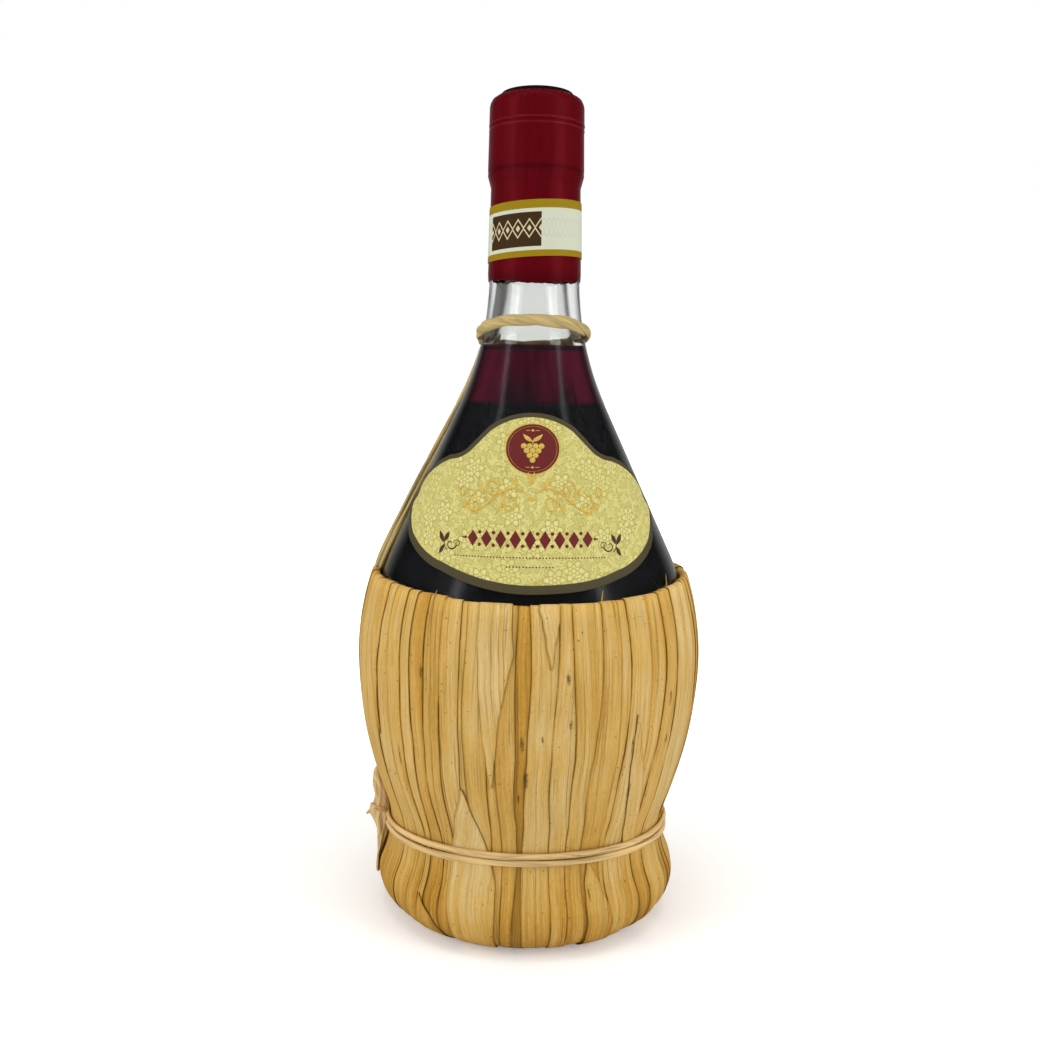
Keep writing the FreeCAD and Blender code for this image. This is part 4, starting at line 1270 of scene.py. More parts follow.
def label_outline(points=480):
    """The label from the front, (x, z), evenly spaced round its edge from the top, sagging at lower right."""
    def spot(share):
        return np.array([share[0] * LABEL_HALF_WIDTH, LABEL_HIGH.z - share[1] * height])

    height = LABEL_HIGH.z - LABEL_LOW.z
    mirror = np.array([-1.0, 1.0])
    crown, slope, base = spot(LABEL_CROWN), spot(LABEL_SLOPE), spot(LABEL_BASE)
    half = np.concatenate([
        arc_through(crown * mirror, spot((0, 0)), crown, 80)[40:],
        np.linspace(crown, slope, 20, endpoint=False),
        arc_through(slope, spot(LABEL_NOTCH_DEEP), spot(LABEL_NOTCH_END), 30),
        arc_through(spot(LABEL_NOTCH_END), spot(LABEL_LOBE_ROUND), spot(LABEL_LOBE), 40),
        arc_through(spot(LABEL_LOBE), spot(LABEL_WIDEST), spot(LABEL_CORNER), 40),
        arc_through(spot(LABEL_CORNER), spot(LABEL_CORNER_ROUND), base, 30),
        arc_through(base, spot((0, 1)), base * mirror, 120)[:61],
    ])
    whole = np.concatenate([half, (half * mirror)[-2:0:-1], half[:1]])
    down = (LABEL_HIGH.z - whole[:, 1]) / height
    whole[:, 1] -= LABEL_SAG * ease(whole[:, 0], 3.0 * MM, 26.0 * MM) * ease(down, 0.60, 0.85)
    run = run_length(whole)
    even = np.linspace(0.0, run[-1], points, endpoint=False)
    return np.stack([np.interp(even, run, whole[:, 0]), np.interp(even, run, whole[:, 1])], axis=1)


def off_cone(turned, z, lift):
    """A point of the shoulder at an angle from the front and a height, lifted square to the cone."""
    reach = glass_radius(z) + lift * math.cos(SHOULDER_ANGLE)
    return around(reach, FRONT + turned, z + lift * math.sin(SHOULDER_ANGLE))


def front_turn(x, z):
    """The angle from the front at which the front view shows x on the glass: asin(x / radius)."""
    return np.arcsin(np.clip(x / glass_radius(z), -1.0, 1.0))


def unrolled(flat):
    """Front-view places (x, z) as millimetres across and up the label from its middle."""
    x, z = flat[..., 0], flat[..., 1]
    rise = (z - LABEL_MIDDLE) / math.cos(SHOULDER_ANGLE)
    return np.stack([glass_radius(z) * front_turn(x, z), rise], axis=-1) / MM


def on_label(across, rise, lift):
    """A place on the label: across along the level circle, rise up the cone, lift off the glass."""
    z = LABEL_MIDDLE + rise * math.cos(SHOULDER_ANGLE)
    return off_cone(across / glass_radius(z), z, lift)


def label_sheet(settings):
    """The label as rings from its middle out and back underneath: middle + share (outline - middle)."""
    outline = label_outline()
    middle = np.array([0.0, LABEL_MIDDLE])
    share = 1 - (1 - np.linspace(0.0, 1.0, 56)) ** 1.5
    share = np.concatenate([share, share[-1:], [0.5, 0.0]])
    lift = np.full(share.shape, LABEL_GLUE + settings.thickness)
    lift[-4] -= 0.06 * MM
    lift[-3:] = LABEL_GLUE
    flat = middle + share[:, None, None] * (outline - middle)
    x, z = flat[..., 0], flat[..., 1]
    points = off_cone(front_turn(x, z), z, lift[:, None])
    uv = unrolled(flat)
    edge = unrolled(outline)
    gap = np.linalg.norm(uv[:, :, None, :] - edge[None, None, ::2, :], axis=-1).min(axis=2)
    return Sheet(points, close_columns=True, uv=uv, values={"inset": gap})


LABEL_FACE = 0.30 * MM


def ribbon(path, width, height=0.12 * MM):
    """A raised line on the label: a low arch across each point of the path, with a closed underside."""
    path = np.asarray(path, float) * MM
    width = np.broadcast_to(np.asarray(width, float) * MM, len(path))
    way = np.gradient(path, axis=0)
    way /= np.linalg.norm(way, axis=1, keepdims=True)
    side = np.stack([-way[:, 1], way[:, 0]], axis=1)
    share = np.array([-1.0, -0.6, 0.0, 0.6, 1.0, 0.0])
    arch = np.array([0.0, 0.75, 1.0, 0.75, 0.0, -0.25]) * height
    spots = path[:, None, :] + side[:, None, :] * (width[:, None, None] / 2) * share[None, :, None]
    return Sheet(on_label(spots[..., 0], spots[..., 1], LABEL_FACE + arch), close_columns=True, caps=True)


def round_spot(centre, far, lift, columns):
    """Rings on the label in millimetres: their distances from a centre and their lifts."""
    turned = ring(columns)
    across = centre[0] + far[:, None] * np.cos(turned)
    rise = centre[1] + far[:, None] * np.sin(turned)
    return Sheet(on_label(across * MM, rise * MM, LABEL_FACE + lift[:, None] * MM), close_columns=True)


def boss(centre, radius, height):
    """A low dome on the label: distance radius sin(a), lift height cos(a), closed underneath."""
    angle = np.array([0.0, 0.3, 0.6, 0.9, 1.2, 1.45, math.pi / 2])
    far = np.concatenate([np.sin(angle), [0.0]]) * radius
    lift = np.concatenate([np.cos(angle), [-0.25]]) * height
    return round_spot(centre, far, lift, 20)


def plate(centre, radius, height):
    """A flat round plate on the label with a rounded edge."""
    far = np.concatenate([np.linspace(0.0, 0.96, 14), [0.99, 1.0, 0.6, 0.0]]) * radius
    lift = np.concatenate([np.ones(14), [0.8, 0.0, -0.3, -0.3]]) * height
    return round_spot(centre, far, lift, 96)


def hoop_line(centre, radius, width, height=0.12 * MM):
    """A raised circle on the label, closed on itself."""
    turned = np.linspace(0.0, math.tau, 97)
    path = np.stack([centre[0] + radius * np.cos(turned), centre[1] + radius * np.sin(turned)], axis=1)
    return ribbon(path, width, height)


def scroll(centre, radius, turns, start, hand, count=60):
    """A curl that winds in: radius (1 - 0.85 share) at an angle that grows with the share."""
    share = np.linspace(0.0, 1.0, count)
    angle = start + hand * math.tau * turns * share
    reach = radius * (1 - 0.85 * share)
    return np.stack([centre[0] + reach * np.cos(angle), centre[1] + reach * np.sin(angle)], axis=1)


def blade(root, way, long, wide, bend=0.0, count=14):
    """A leaf-shaped line from a root: its path bends sideways and its width swells as sin(pi share)."""
    share = np.linspace(0.0, 1.0, count)
    ahead = np.array([math.cos(way), math.sin(way)])
    aside = np.array([-ahead[1], ahead[0]])
    path = np.asarray(root) + long * share[:, None] * ahead + bend * (share ** 2)[:, None] * aside
    return path, wide * np.sin(math.pi * np.clip(share, 0.03, 0.97)) ** 0.8


def both_sides(path):
    """A line and its mirror image about the label's upright middle."""
    path = np.asarray(path, float)
    return [path, path * np.array([-1.0, 1.0])]


MEDALLION = (0.3, 17.6)
MEDALLION_R = 8.0
FLOURISH_MIDDLE = np.array([0.0, 1.9])
FLOURISH_STRETCH = np.array([1.04, 1.6])
FRIEZE_RISE = -10.8
FRIEZE_PITCH = 4.3


def medallion_gold():
    """Two rings, a bunch of grapes in rows of four to one, a stalk with two leaves, and end ornaments."""
    x, y = MEDALLION
    sheets = [hoop_line(MEDALLION, 8.15, 0.5), hoop_line(MEDALLION, 7.25, 0.16)]
    for row, number in enumerate((4, 3, 2, 1)):
        for place in range(number):
            spot = (x + (place - (number - 1) / 2) * 1.75, y + 0.9 - row * 1.5)
            sheets.append(boss(spot, 0.9, 0.42))
    sheets.append(ribbon([(x, y + 1.6), (x + 0.15, y + 2.6), (x + 0.6, y + 3.5)], 0.35, 0.3 * MM))
    for way, bend in ((0.5, 0.7), (math.pi - 0.5, -0.7)):
        path, width = blade((x, y + 2.3), way, 3.6, 1.5, bend)
        sheets.append(ribbon(path, width, 0.3 * MM))
    for rise in (5.9, -5.9):
        sheets.append(boss((x, y + rise), 0.42, 0.25))
        for way in (0.0, math.pi):
            path, width = blade((x + 0.5 * math.cos(way), y + rise), way, 1.7, 0.45)
            sheets.append(ribbon(path, width))
    return sheets


def flourish_gold():
    """Scrollwork about the label's middle: a waving stem each side, curls on it and leaves between them."""
    share = np.linspace(0.0, 1.0, 80)
    rise = 2.2 + 1.9 * np.sin(math.tau * (0.92 * share + 0.05)) - 1.2 * share
    stem = np.stack([1.2 + 19.5 * share, rise], axis=1)
    thick = 0.30 + 0.55 * np.abs(np.sin(math.tau * 0.92 * share))
    curls = [
        scroll((5.6, 1.2), 2.5, 1.3, math.pi / 2, -1),
        scroll((10.8, 3.4), 2.6, 1.35, -math.pi / 2, 1),
        scroll((16.4, 0.2), 2.3, 1.3, math.pi / 2, -1),
        scroll((20.6, 2.6), 1.5, 1.2, math.pi, -1),
    ]
    leaves = [
        blade((3.6, 3.8), 1.0, 3.0, 0.9, -0.5),
        blade((8.2, 1.0), -1.1, 2.6, 0.8, 0.4),
        blade((13.6, 2.6), 0.9, 2.8, 0.85, -0.5),
        blade((18.4, 1.2), -0.9, 2.4, 0.7, 0.4),
        blade((0.0, 4.6), math.pi / 2 - 0.5, 2.6, 0.8, 0.4),
    ]
    lines = [(stem, thick)]
    lines += [(curl, np.linspace(0.75, 0.28, len(curl))) for curl in curls]
    lines += [(path, 1.35 * width) for path, width in leaves]
    sheets = [boss(FLOURISH_MIDDLE, 0.95, 0.28)]
    for path, width in lines:
        tall = FLOURISH_MIDDLE + (path - FLOURISH_MIDDLE) * FLOURISH_STRETCH
        sheets += [ribbon(line, width, 0.30 * MM) for line in both_sides(tall)]
    return sheets


def frieze_ink():
    """A row of lozenges with beads between them and a tapering line at each end."""
    sheets = []
    for number in range(-4, 5):
        tall = 6.0 - 0.25 * abs(number)
        share = np.linspace(-1.0, 1.0, 21)
        path = np.stack([np.full(21, FRIEZE_PITCH * number), FRIEZE_RISE + tall / 2 * share], axis=1)
        sheets.append(ribbon(path, 0.05 + 3.3 * (1 - np.abs(share)), 0.05 * MM))
    for number in range(-4, 4):
        for lift in (1.9, -1.9):
            sheets.append(boss((FRIEZE_PITCH * (number + 0.5), FRIEZE_RISE + lift), 0.55, 0.05))
    for line in both_sides([(19.2 + 0.35 * step, FRIEZE_RISE) for step in range(6)]):
        sheets.append(ribbon(line, np.linspace(0.9, 0.12, 6), 0.05 * MM))
    return sheets


def sprig_ink():
    """A vine sprig each side: a stem that winds into a ring at its inner end, and pointed leaves outside."""
    lines = [
        (scroll((24.6, -13.2), 2.0, 0.9, math.pi * 1.05, 1, 40), np.linspace(0.5, 0.24, 40)),
        (scroll((22.4, -13.0), 1.25, 1.25, 0.0, 1, 40), np.full(40, 0.30)),
        (np.array([(26.0, -15.2), (26.9, -14.2), (27.2, -13.0)]), np.full(3, 0.36)),
    ]
    for root, way, long, wide in (
        ((27.0, -12.8), 1.9, 3.4, 1.5),
        ((27.2, -13.0), 0.9, 3.8, 1.6),
        ((27.2, -13.6), -1.2, 3.4, 1.3),
    ):
        lines.append(blade(root, way, long, wide, 0.5))
    return [ribbon(line, width, 0.05 * MM) for path, width in lines for line in both_sides(path)]


def rules_ink():
    """Two thin rules of small beads under the frieze, the lower one short."""
    sheets = []
    for rise, half in ((-16.2, 24), (-19.0, 7)):
        for place in range(-half, half + 1):
            sheets.append(boss((place * 0.95, rise - 0.0006 * place * place), 0.24, 0.03))
    return sheets


def sleeve_sheet(settings):
    """The capsule below its tear line: the bottle's outline moved out, a ragged edge and a tear bead."""
    rng = np.random.default_rng(SEED + 1)
    bearing = ring(320)
    cut = waves(rng, 1, bearing / math.tau, (1.0, 0.8, 0.6, 0.5), (3, 7, 17, 41))[0]
    low = SLEEVE_LOW.z + settings.ragged * (cut - 0.3) - settings.front_sag * bell((bearing - FRONT), 0.75)
    low = low + settings.back_rise * ((1 + np.sin(bearing)) / 2) ** 3
    share = np.concatenate([np.linspace(0.0, 0.12, 14), np.linspace(0.12, 1.0, 90)[1:]])[:, None]
    z = low + (SLEEVE_HIGH.z - low) * share
    inner = glass_radius(z) + settings.gap * ease(z - low, 0.0, 2.0 * MM) + 0.02 * MM
    bead = bell(z - SLEEVE_BEAD_Z, 0.22 * MM) * ease(np.sin(3 * bearing + 0.6), -0.75, -0.35)
    ripple = waves(rng, 1, bearing / math.tau, (0.03 * MM, 0.02 * MM), (9, 23))
    free = ease(np.abs(z - (STRIP_LOW.z + STRIP_HIGH.z) / 2), 9.5 * MM, 12 * MM)
    crease = SLEEVE_CREASE * bell(z - CREASE_Z, 0.45 * MM)
    outer = inner + settings.wall + settings.bead * bead + ripple * free - crease
    rows = np.concatenate([around(outer, bearing, z), around(inner, bearing, z)[::-1]])
    return Sheet(rows, close_rows=True, close_columns=True)


def cap_sheet(settings):
    """The capsule above its tear line: wall, rounded pleated edge and flat top, then the same inside."""
    bearing = ring(320)
    foot, top = SLEEVE_HIGH.z + 0.04 * MM, LIP_Z + CAP_GAP
    slope = (FINISH_LOW_R - FINISH_TOP_R) / FINISH_HEIGHT

    def wall(offset):
        rounding = LIP_ROUND + offset
        side = top + offset - CAP_GAP - rounding
        reach = FINISH_TOP_R + slope * (LIP_Z - side) + offset
        low_r = FINISH_TOP_R + slope * (LIP_Z - foot) + offset
        straight = np.linspace((low_r, foot), (reach, side), 24, endpoint=False)
        bend = arc((reach - rounding, side), rounding, 0.0, math.pi / 2, 16)
        flat = np.linspace(bend[-1], (0.0, bend[-1][1]), 8)[1:]
        return np.concatenate([straight, bend, flat])

    outer, inner = wall(CAP_GAP + settings.wall), wall(CAP_GAP)
    z = outer[:, 1:]
    rim = ease(z, top - 2.6 * MM, top - 0.9 * MM) * ease(outer[:, :1], 10.6 * MM, 12.2 * MM)
    pleats = settings.pleat * rim * (np.cos(46 * bearing) + 0.6 * np.cos(29 * bearing + 1.0))
    bead = bell(z - (foot + 0.7 * MM), 0.2 * MM) * ease(np.sin(3 * bearing + 0.6), -0.8, -0.4)
    reach = outer[:, :1] + pleats * 0.6 + settings.bead * bead
    face = around(reach, bearing, z + pleats * 0.5)
    back = around(inner[:, :1], bearing, inner[:, 1:])
    return Sheet(np.concatenate([face[::-1], back]), close_columns=True)


def disc_sheet():
    """The top disc: flat with a faint raised ring, a rounded edge and fine crimps round it."""
    bearing = ring(360)
    reach, low, high = DISC_HIGH.x, DISC_LOW.z, DISC_HIGH.z
    bend = arc((reach - DISC_EDGE_ROUND, high - DISC_EDGE_ROUND), DISC_EDGE_ROUND, 0.0, math.pi / 2, 8)
    flat = np.linspace((reach - 0.9 * MM, high), (0.0, high), 24)
    flat[:, 1] -= 0.10 * MM * ease(flat[:, 0], 9.4 * MM, 9.0 * MM)
    profile = np.concatenate([[(0.0, low), (reach, low), (reach, high - 0.6 * MM)], bend, flat])
    crimp = DISC_CRIMP * np.cos(72 * bearing) * bell(profile[:, :1] - reach, 0.7 * MM)
    return Sheet(around(profile[:, :1] + crimp - DISC_CRIMP, bearing, profile[:, 1:]), close_columns=True)


def strip_sheet(settings):
    """The paper round the capsule: outline moved out, a little lower at the left, parted at the back."""
    parting = STRIP_BUTT / (2 * NECK_ROOT_R)
    bearing = np.linspace(math.pi / 2 + parting, 5 * math.pi / 2 - parting, 200)
    z = np.linspace(STRIP_LOW.z, STRIP_HIGH.z, 24)[:, None]
    inner = glass_radius(z) + STRIP_GAP
    corner = np.minimum(z - STRIP_LOW.z, STRIP_HIGH.z - z) < 0.01 * MM
    outer = inner + settings.thickness - 0.05 * MM * corner
    tilted = z + STRIP_TILT * np.cos(bearing)
    points = np.concatenate([around(outer, bearing, tilted), around(inner, bearing, tilted)[::-1]])
    turned = (bearing - FRONT) * NECK_TOP_R / MM
    up = np.concatenate([z, z[::-1]]) - STRIP_LOW.z
    uv = np.stack(np.broadcast_arrays(turned[None, :], up / MM), axis=-1)
    return Sheet(points.transpose(1, 0, 2), close_columns=True, caps=True, uv=uv.transpose(1, 0, 2))


def cork_sheet():
    """The cork: a chamfered cylinder with a slightly worn skin."""
    rng = np.random.default_rng(SEED + 2)
    reach, low, high = CORK_HIGH.x, CORK_LOW.z, CORK_HIGH.z
    profile = np.concatenate([
        np.linspace((0.0, low), (reach - CORK_CHAMFER, low), 6),
        np.linspace((reach, low + CORK_CHAMFER), (reach, high - CORK_CHAMFER), 60),
        np.linspace((reach - CORK_CHAMFER, high), (0.0, high), 6),
    ])
    bearing = ring(96)
    worn = waves(rng, len(profile), bearing / math.tau, (0.03 * MM, 0.03 * MM), (5, 13))
    skin = profile[:, :1] - np.abs(worn) * (profile[:, :1] > 0)
    return Sheet(around(skin, bearing, profile[:, 1:]), close_columns=True)


def base_ring_sheet():
    """The base ring: the frame's ring with a coiled underside, each round of the rope a low arch."""
    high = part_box("base_ring")[1]
    back = LEAF + 0.3 * MM
    rows = slice(USUAL_PATH.outer + ROWS["shoulder"] + ROWS["flank"], None)
    r, z, out, up = (part[0, rows] for part in (USUAL_PATH.r, USUAL_PATH.z, USUAL_PATH.out, USUAL_PATH.up))
    skin = np.stack([r - back * out, z - back * up], axis=1)
    skin = skin[skin[:, 1] < high.z]
    share = np.linspace(0.0, 1.0, 97)
    groove = RING_GROOVE * (1 - np.sqrt(np.abs(np.sin(math.pi * RING_ROUNDS * share))))
    under = np.stack([RING_FOOT_R + (RING_BORE - RING_FOOT_R) * share, groove], axis=1)
    cup = lower_glass(-0.4 * MM)
    cup = cup[(cup[:, 0] > RING_BORE) & (cup[:, 1] < high.z - 0.3 * MM)]
    profile = np.concatenate([skin, [(RING_FOOT_R, skin[-1, 1])], under, cup])
    return Sheet(lathe(profile, 160), close_rows=True, close_columns=True)


def twine_sheet(cords):
    """The twine: two turns in the waist on the frame's route, flattened against the straw, two-strand lay."""
    count = 720
    full = math.tau * TWINE_TURNS
    along = np.linspace(TWINE_PARTING / 2, full - TWINE_PARTING / 2, count)
    bearing = math.pi + along
    rng = np.random.default_rng(SEED + 3)
    wander = waves(rng, 2, along / full, (0.18 * MM, 0.10 * MM), (5.0, 13.0))
    z = twine_height(bearing) + TWINE_PITCH * (along - full / 2) / math.tau + wander[0]
    reach = straw_radius(z) + 0.10 * MM + cords.twine_out + 0.4 * wander[1]
    ripple = strands(count, 24, TWINE_LAY, 2, 0.12)
    thick = 1 + waves(rng, 1, along / full, (0.07, 0.05), (8.0, 21.0))[0]
    thick = thick * closed_ends(count, 5)
    twist = np.linspace(0.0, math.tau * TWINE_LAY, count)
    path = around(reach, bearing, z)
    return sweep(path, radial(bearing), cords.twine_out * thick, cords.twine_side * thick, ripple, 24, -twist)


def smooth_line(fine, share, values):
    """Values between given places, by the cubic that keeps each place's mean slope."""
    slope = np.gradient(values, share)
    right = np.clip(np.searchsorted(share, fine, side="right"), 1, len(share) - 1)
    left = right - 1
    step = share[right] - share[left]
    s = (fine - share[left]) / step
    start, end = values[left], values[right]
    ahead, behind = slope[left] * step, slope[right] * step
    return (
        (2 * s ** 3 - 3 * s ** 2 + 1) * start
        + (s ** 3 - 2 * s ** 2 + s) * ahead
        + (3 * s ** 2 - 2 * s ** 3) * end
        + (s ** 3 - s ** 2) * behind
    )


# Knot at the waist, by height in mm: how far its outer face stands from the axis and its half width
KNOT_HEIGHTS = (44.6, 42.6, 40.0, 36.5, 33.5, 31.2, 29.5, 28.0, 25.5, 22.5, 17.0, 12.0, 9.6)
KNOT_OUTER = (50.2, 50.9, 51.1, 50.8, 50.5, 51.0, 51.9, 51.2, 50.1, 49.5, 49.3, 49.7, 49.7)
KNOT_HALF = (0.5, 1.4, 1.9, 2.1, 2.3, 2.3, 2.2, 2.2, 2.4, 2.6, 2.5, 1.7, 0.4)
KNOT_OUT = radial(np.radians(183.0))
KNOT_SIDE = sideways(np.radians(183.0))


def knot_path(reach, aside, z):
    """Points of the knot in metres from a reach outwards, an offset sideways and a height in millimetres."""
    return (reach[:, None] * KNOT_OUT + aside[:, None] * KNOT_SIDE + z[:, None] * UP) * MM


def sheaf_sheet(aside, lean, wide, phase, top, low, keep=1.0):
    """A crumpled sheaf of the knot between two heights, from the straw out to the knot's outer face.

    Its section swells by small sines of the angle round it and the way along it, so it folds lengthwise.
    """
    share = np.linspace(0.0, 1.0, 90)
    z = top + (low - top) * share
    order = np.argsort(KNOT_HEIGHTS)
    heights = np.array(KNOT_HEIGHTS)[order]
    outer = smooth_line(z, heights, np.array(KNOT_OUTER)[order]) * keep
    half = smooth_line(z, heights, np.array(KNOT_HALF)[order]) * wide
    inner = np.minimum(straw_radius(z * MM) / MM - 0.1, outer - 0.9)
    ends = closed_ends(len(z), 6)
    offset = aside + lean * (share - 0.5) + 0.35 * np.sin(5.0 * share + phase)
    path = knot_path((outer + inner) / 2, offset, z)
    angle = section_angles(48)
    along = share[:, None]
    folds = 1 + 0.09 * np.cos(5 * angle + 7 * along + phase)
    folds = folds + 0.06 * np.cos(9 * angle - 11 * along + 2 * phase)
    outwards = np.broadcast_to(KNOT_OUT, path.shape)
    return sweep(path, outwards, (outer - inner) / 2 * MM * ends, half * MM * ends, folds, 48)


def knot_wrap_sheet():
    """The turn that ties the sheaves: an ellipse round them at the twine, tilted, as a flat ribbon."""
    turned = section_angles(96)[0]
    around_it = 2.9 * np.cos(turned)[:, None] * KNOT_OUT + 3.9 * np.sin(turned)[:, None] * KNOT_SIDE
    path = (48.9 * KNOT_OUT + around_it + (29.3 + 0.9 * np.sin(turned + 0.6))[:, None] * UP) * MM
    outwards = around_it / np.linalg.norm(around_it, axis=1, keepdims=True)
    folds = 1 + 0.12 * np.cos(6 * section_angles(24) + 5 * turned[:, None])
    folds[-1] = folds[0]
    return sweep(path, outwards, 0.55 * MM, 1.35 * MM, folds, 24)


def knot_nose_sheet():
    """The folded end that points outwards over the wrap."""
    share = np.linspace(0.0, 1.0, 40)
    path = knot_path(49.5 + 3.9 * share, 1.2 + 0.8 * share, 30.2 - 1.9 * share ** 1.5)
    slim = closed_ends(40, 3) * (1 - 0.80 * share ** 1.4)
    up = np.broadcast_to(UP, path.shape)
    folds = 1 + 0.10 * np.cos(4 * section_angles(24) + 3 * share[:, None])
    return sweep(path, up, 1.25 * MM * slim, 1.5 * MM * slim, folds, 24)


def twine_knot_sheets():
    """The knot at the left: sheaves above and below the wrap, the lower ones ending in pointed tails."""
    return [
        sheaf_sheet(1.5, 1.0, 0.85, 0.0, 44.6, 27.5),
        sheaf_sheet(-1.3, -0.8, 0.75, 2.0, 41.5, 27.0, 0.988),
        sheaf_sheet(3.6, 3.0, 1.55, 4.0, 31.0, 9.6),
        sheaf_sheet(-1.2, -2.6, 0.75, 1.0, 31.0, 14.5),
        knot_wrap_sheet(),
        knot_nose_sheet(),
    ]


def loop_height(bearing):
    """The height of the tilted loop, which rises to the front with minus the sine of the bearing."""
    return SLEEVE_LOW.z - LOOP_DROP - LOOP_FRONT_RISE * np.sin(bearing)


def glass_slope(z):
    """How far the glass leans in at a height, in radians."""
    step = 1.0 * MM
    return np.arctan((glass_radius(z - step) - glass_radius(z + step)) / (2 * step))


def glass_normal(bearing, z):
    lean = glass_slope(z)
    return np.stack([np.cos(bearing) * np.cos(lean), np.sin(bearing) * np.cos(lean), np.sin(lean)], axis=-1)


def loop_sheet(cords):
    """The neck loop: a flattened three-strand twist that lies on the glass."""
    count = 360
    share = np.linspace(0.0, 1.0, count)
    bearing = KNOT_BEARING + LOOP_PARTING / 2 + share * (math.tau - LOOP_PARTING)
    rng = np.random.default_rng(SEED + 4)
    z = loop_height(bearing) + waves(rng, 1, share, (0.25 * MM, 0.15 * MM), (2.0, 5.0))[0]
    normal = glass_normal(bearing, z)
    lift = cords.cord_out + 0.12 * MM
    path = around(glass_radius(z), bearing, z) + normal * lift
    ends = closed_ends(count, 6)
    ripple = strands(count, 36, LOOP_LAY, 3, 0.28)
    twist = np.linspace(0.0, math.tau * LOOP_LAY, count)
    swell = 1 + waves(rng, 1, share, (0.08, 0.05), (3.0, 8.0))[0]
    return sweep(path, normal, cords.cord_out * ends, cords.cord_side * swell * ends, ripple, 36, -twist)


def neck_knot_sheet():
    """The loop's knot against the glass: a trefoil, (2 + cos 3t) cos 2t, (2 + cos 3t) sin 2t and sin 3t."""
    count = 200
    t = np.linspace(0.0, math.tau, count)
    size = 0.82 * MM
    swing = 2 + np.cos(3 * t)
    flat = np.stack([swing * np.cos(2 * t), swing * np.sin(2 * t), np.sin(3 * t)], axis=1) * size
    z = loop_height(KNOT_BEARING)
    normal = glass_normal(KNOT_BEARING, z)
    side = sideways(KNOT_BEARING)
    up = np.cross(normal, side)
    middle = around(glass_radius(z), KNOT_BEARING, z) + normal * 2.1 * MM
    path = middle + flat[:, :1] * side * 1.15 + flat[:, 1:2] * up * 0.8 + flat[:, 2:] * normal * 1.1
    outwards = np.broadcast_to(normal, path.shape)
    return sweep(path, outwards, 0.85 * MM, 0.95 * MM, strands(count, 24, 4.0, 3, 0.18), 24)


def strap_sheets(cords):
    """The strap: two strands, one over the other, from the knot down the glass to the rim."""
    count = 160
    share = np.linspace(0.0, 1.0, count)
    high = loop_height(KNOT_BEARING) - 2.4 * MM
    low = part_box("shoulder_strap")[0].z - 1.2 * MM
    z = high + (low - high) * share
    bearing = KNOT_BEARING + (STRAP_RIM_BEARING - KNOT_BEARING) * share
    normal = glass_normal(bearing, z)
    side = sideways(bearing)
    ends = closed_ends(count, 4)
    turned = math.pi * (0.30 + 0.40 * share)
    sheets = []
    for hand in (1, -1):
        rise = STRAP_RISE + hand * STRAP_OVER * np.sin(turned)
        aside = hand * STRAP_APART * np.cos(turned)
        path = around(glass_radius(z), bearing, z) + normal * rise[:, None] + side * aside[:, None]
        ripple = strands(count, 20, 1.5, 3, 0.15)
        sheets.append(sweep(path, normal, cords.strap_out * ends, cords.strap_side * ends, ripple, 20))
    return sheets


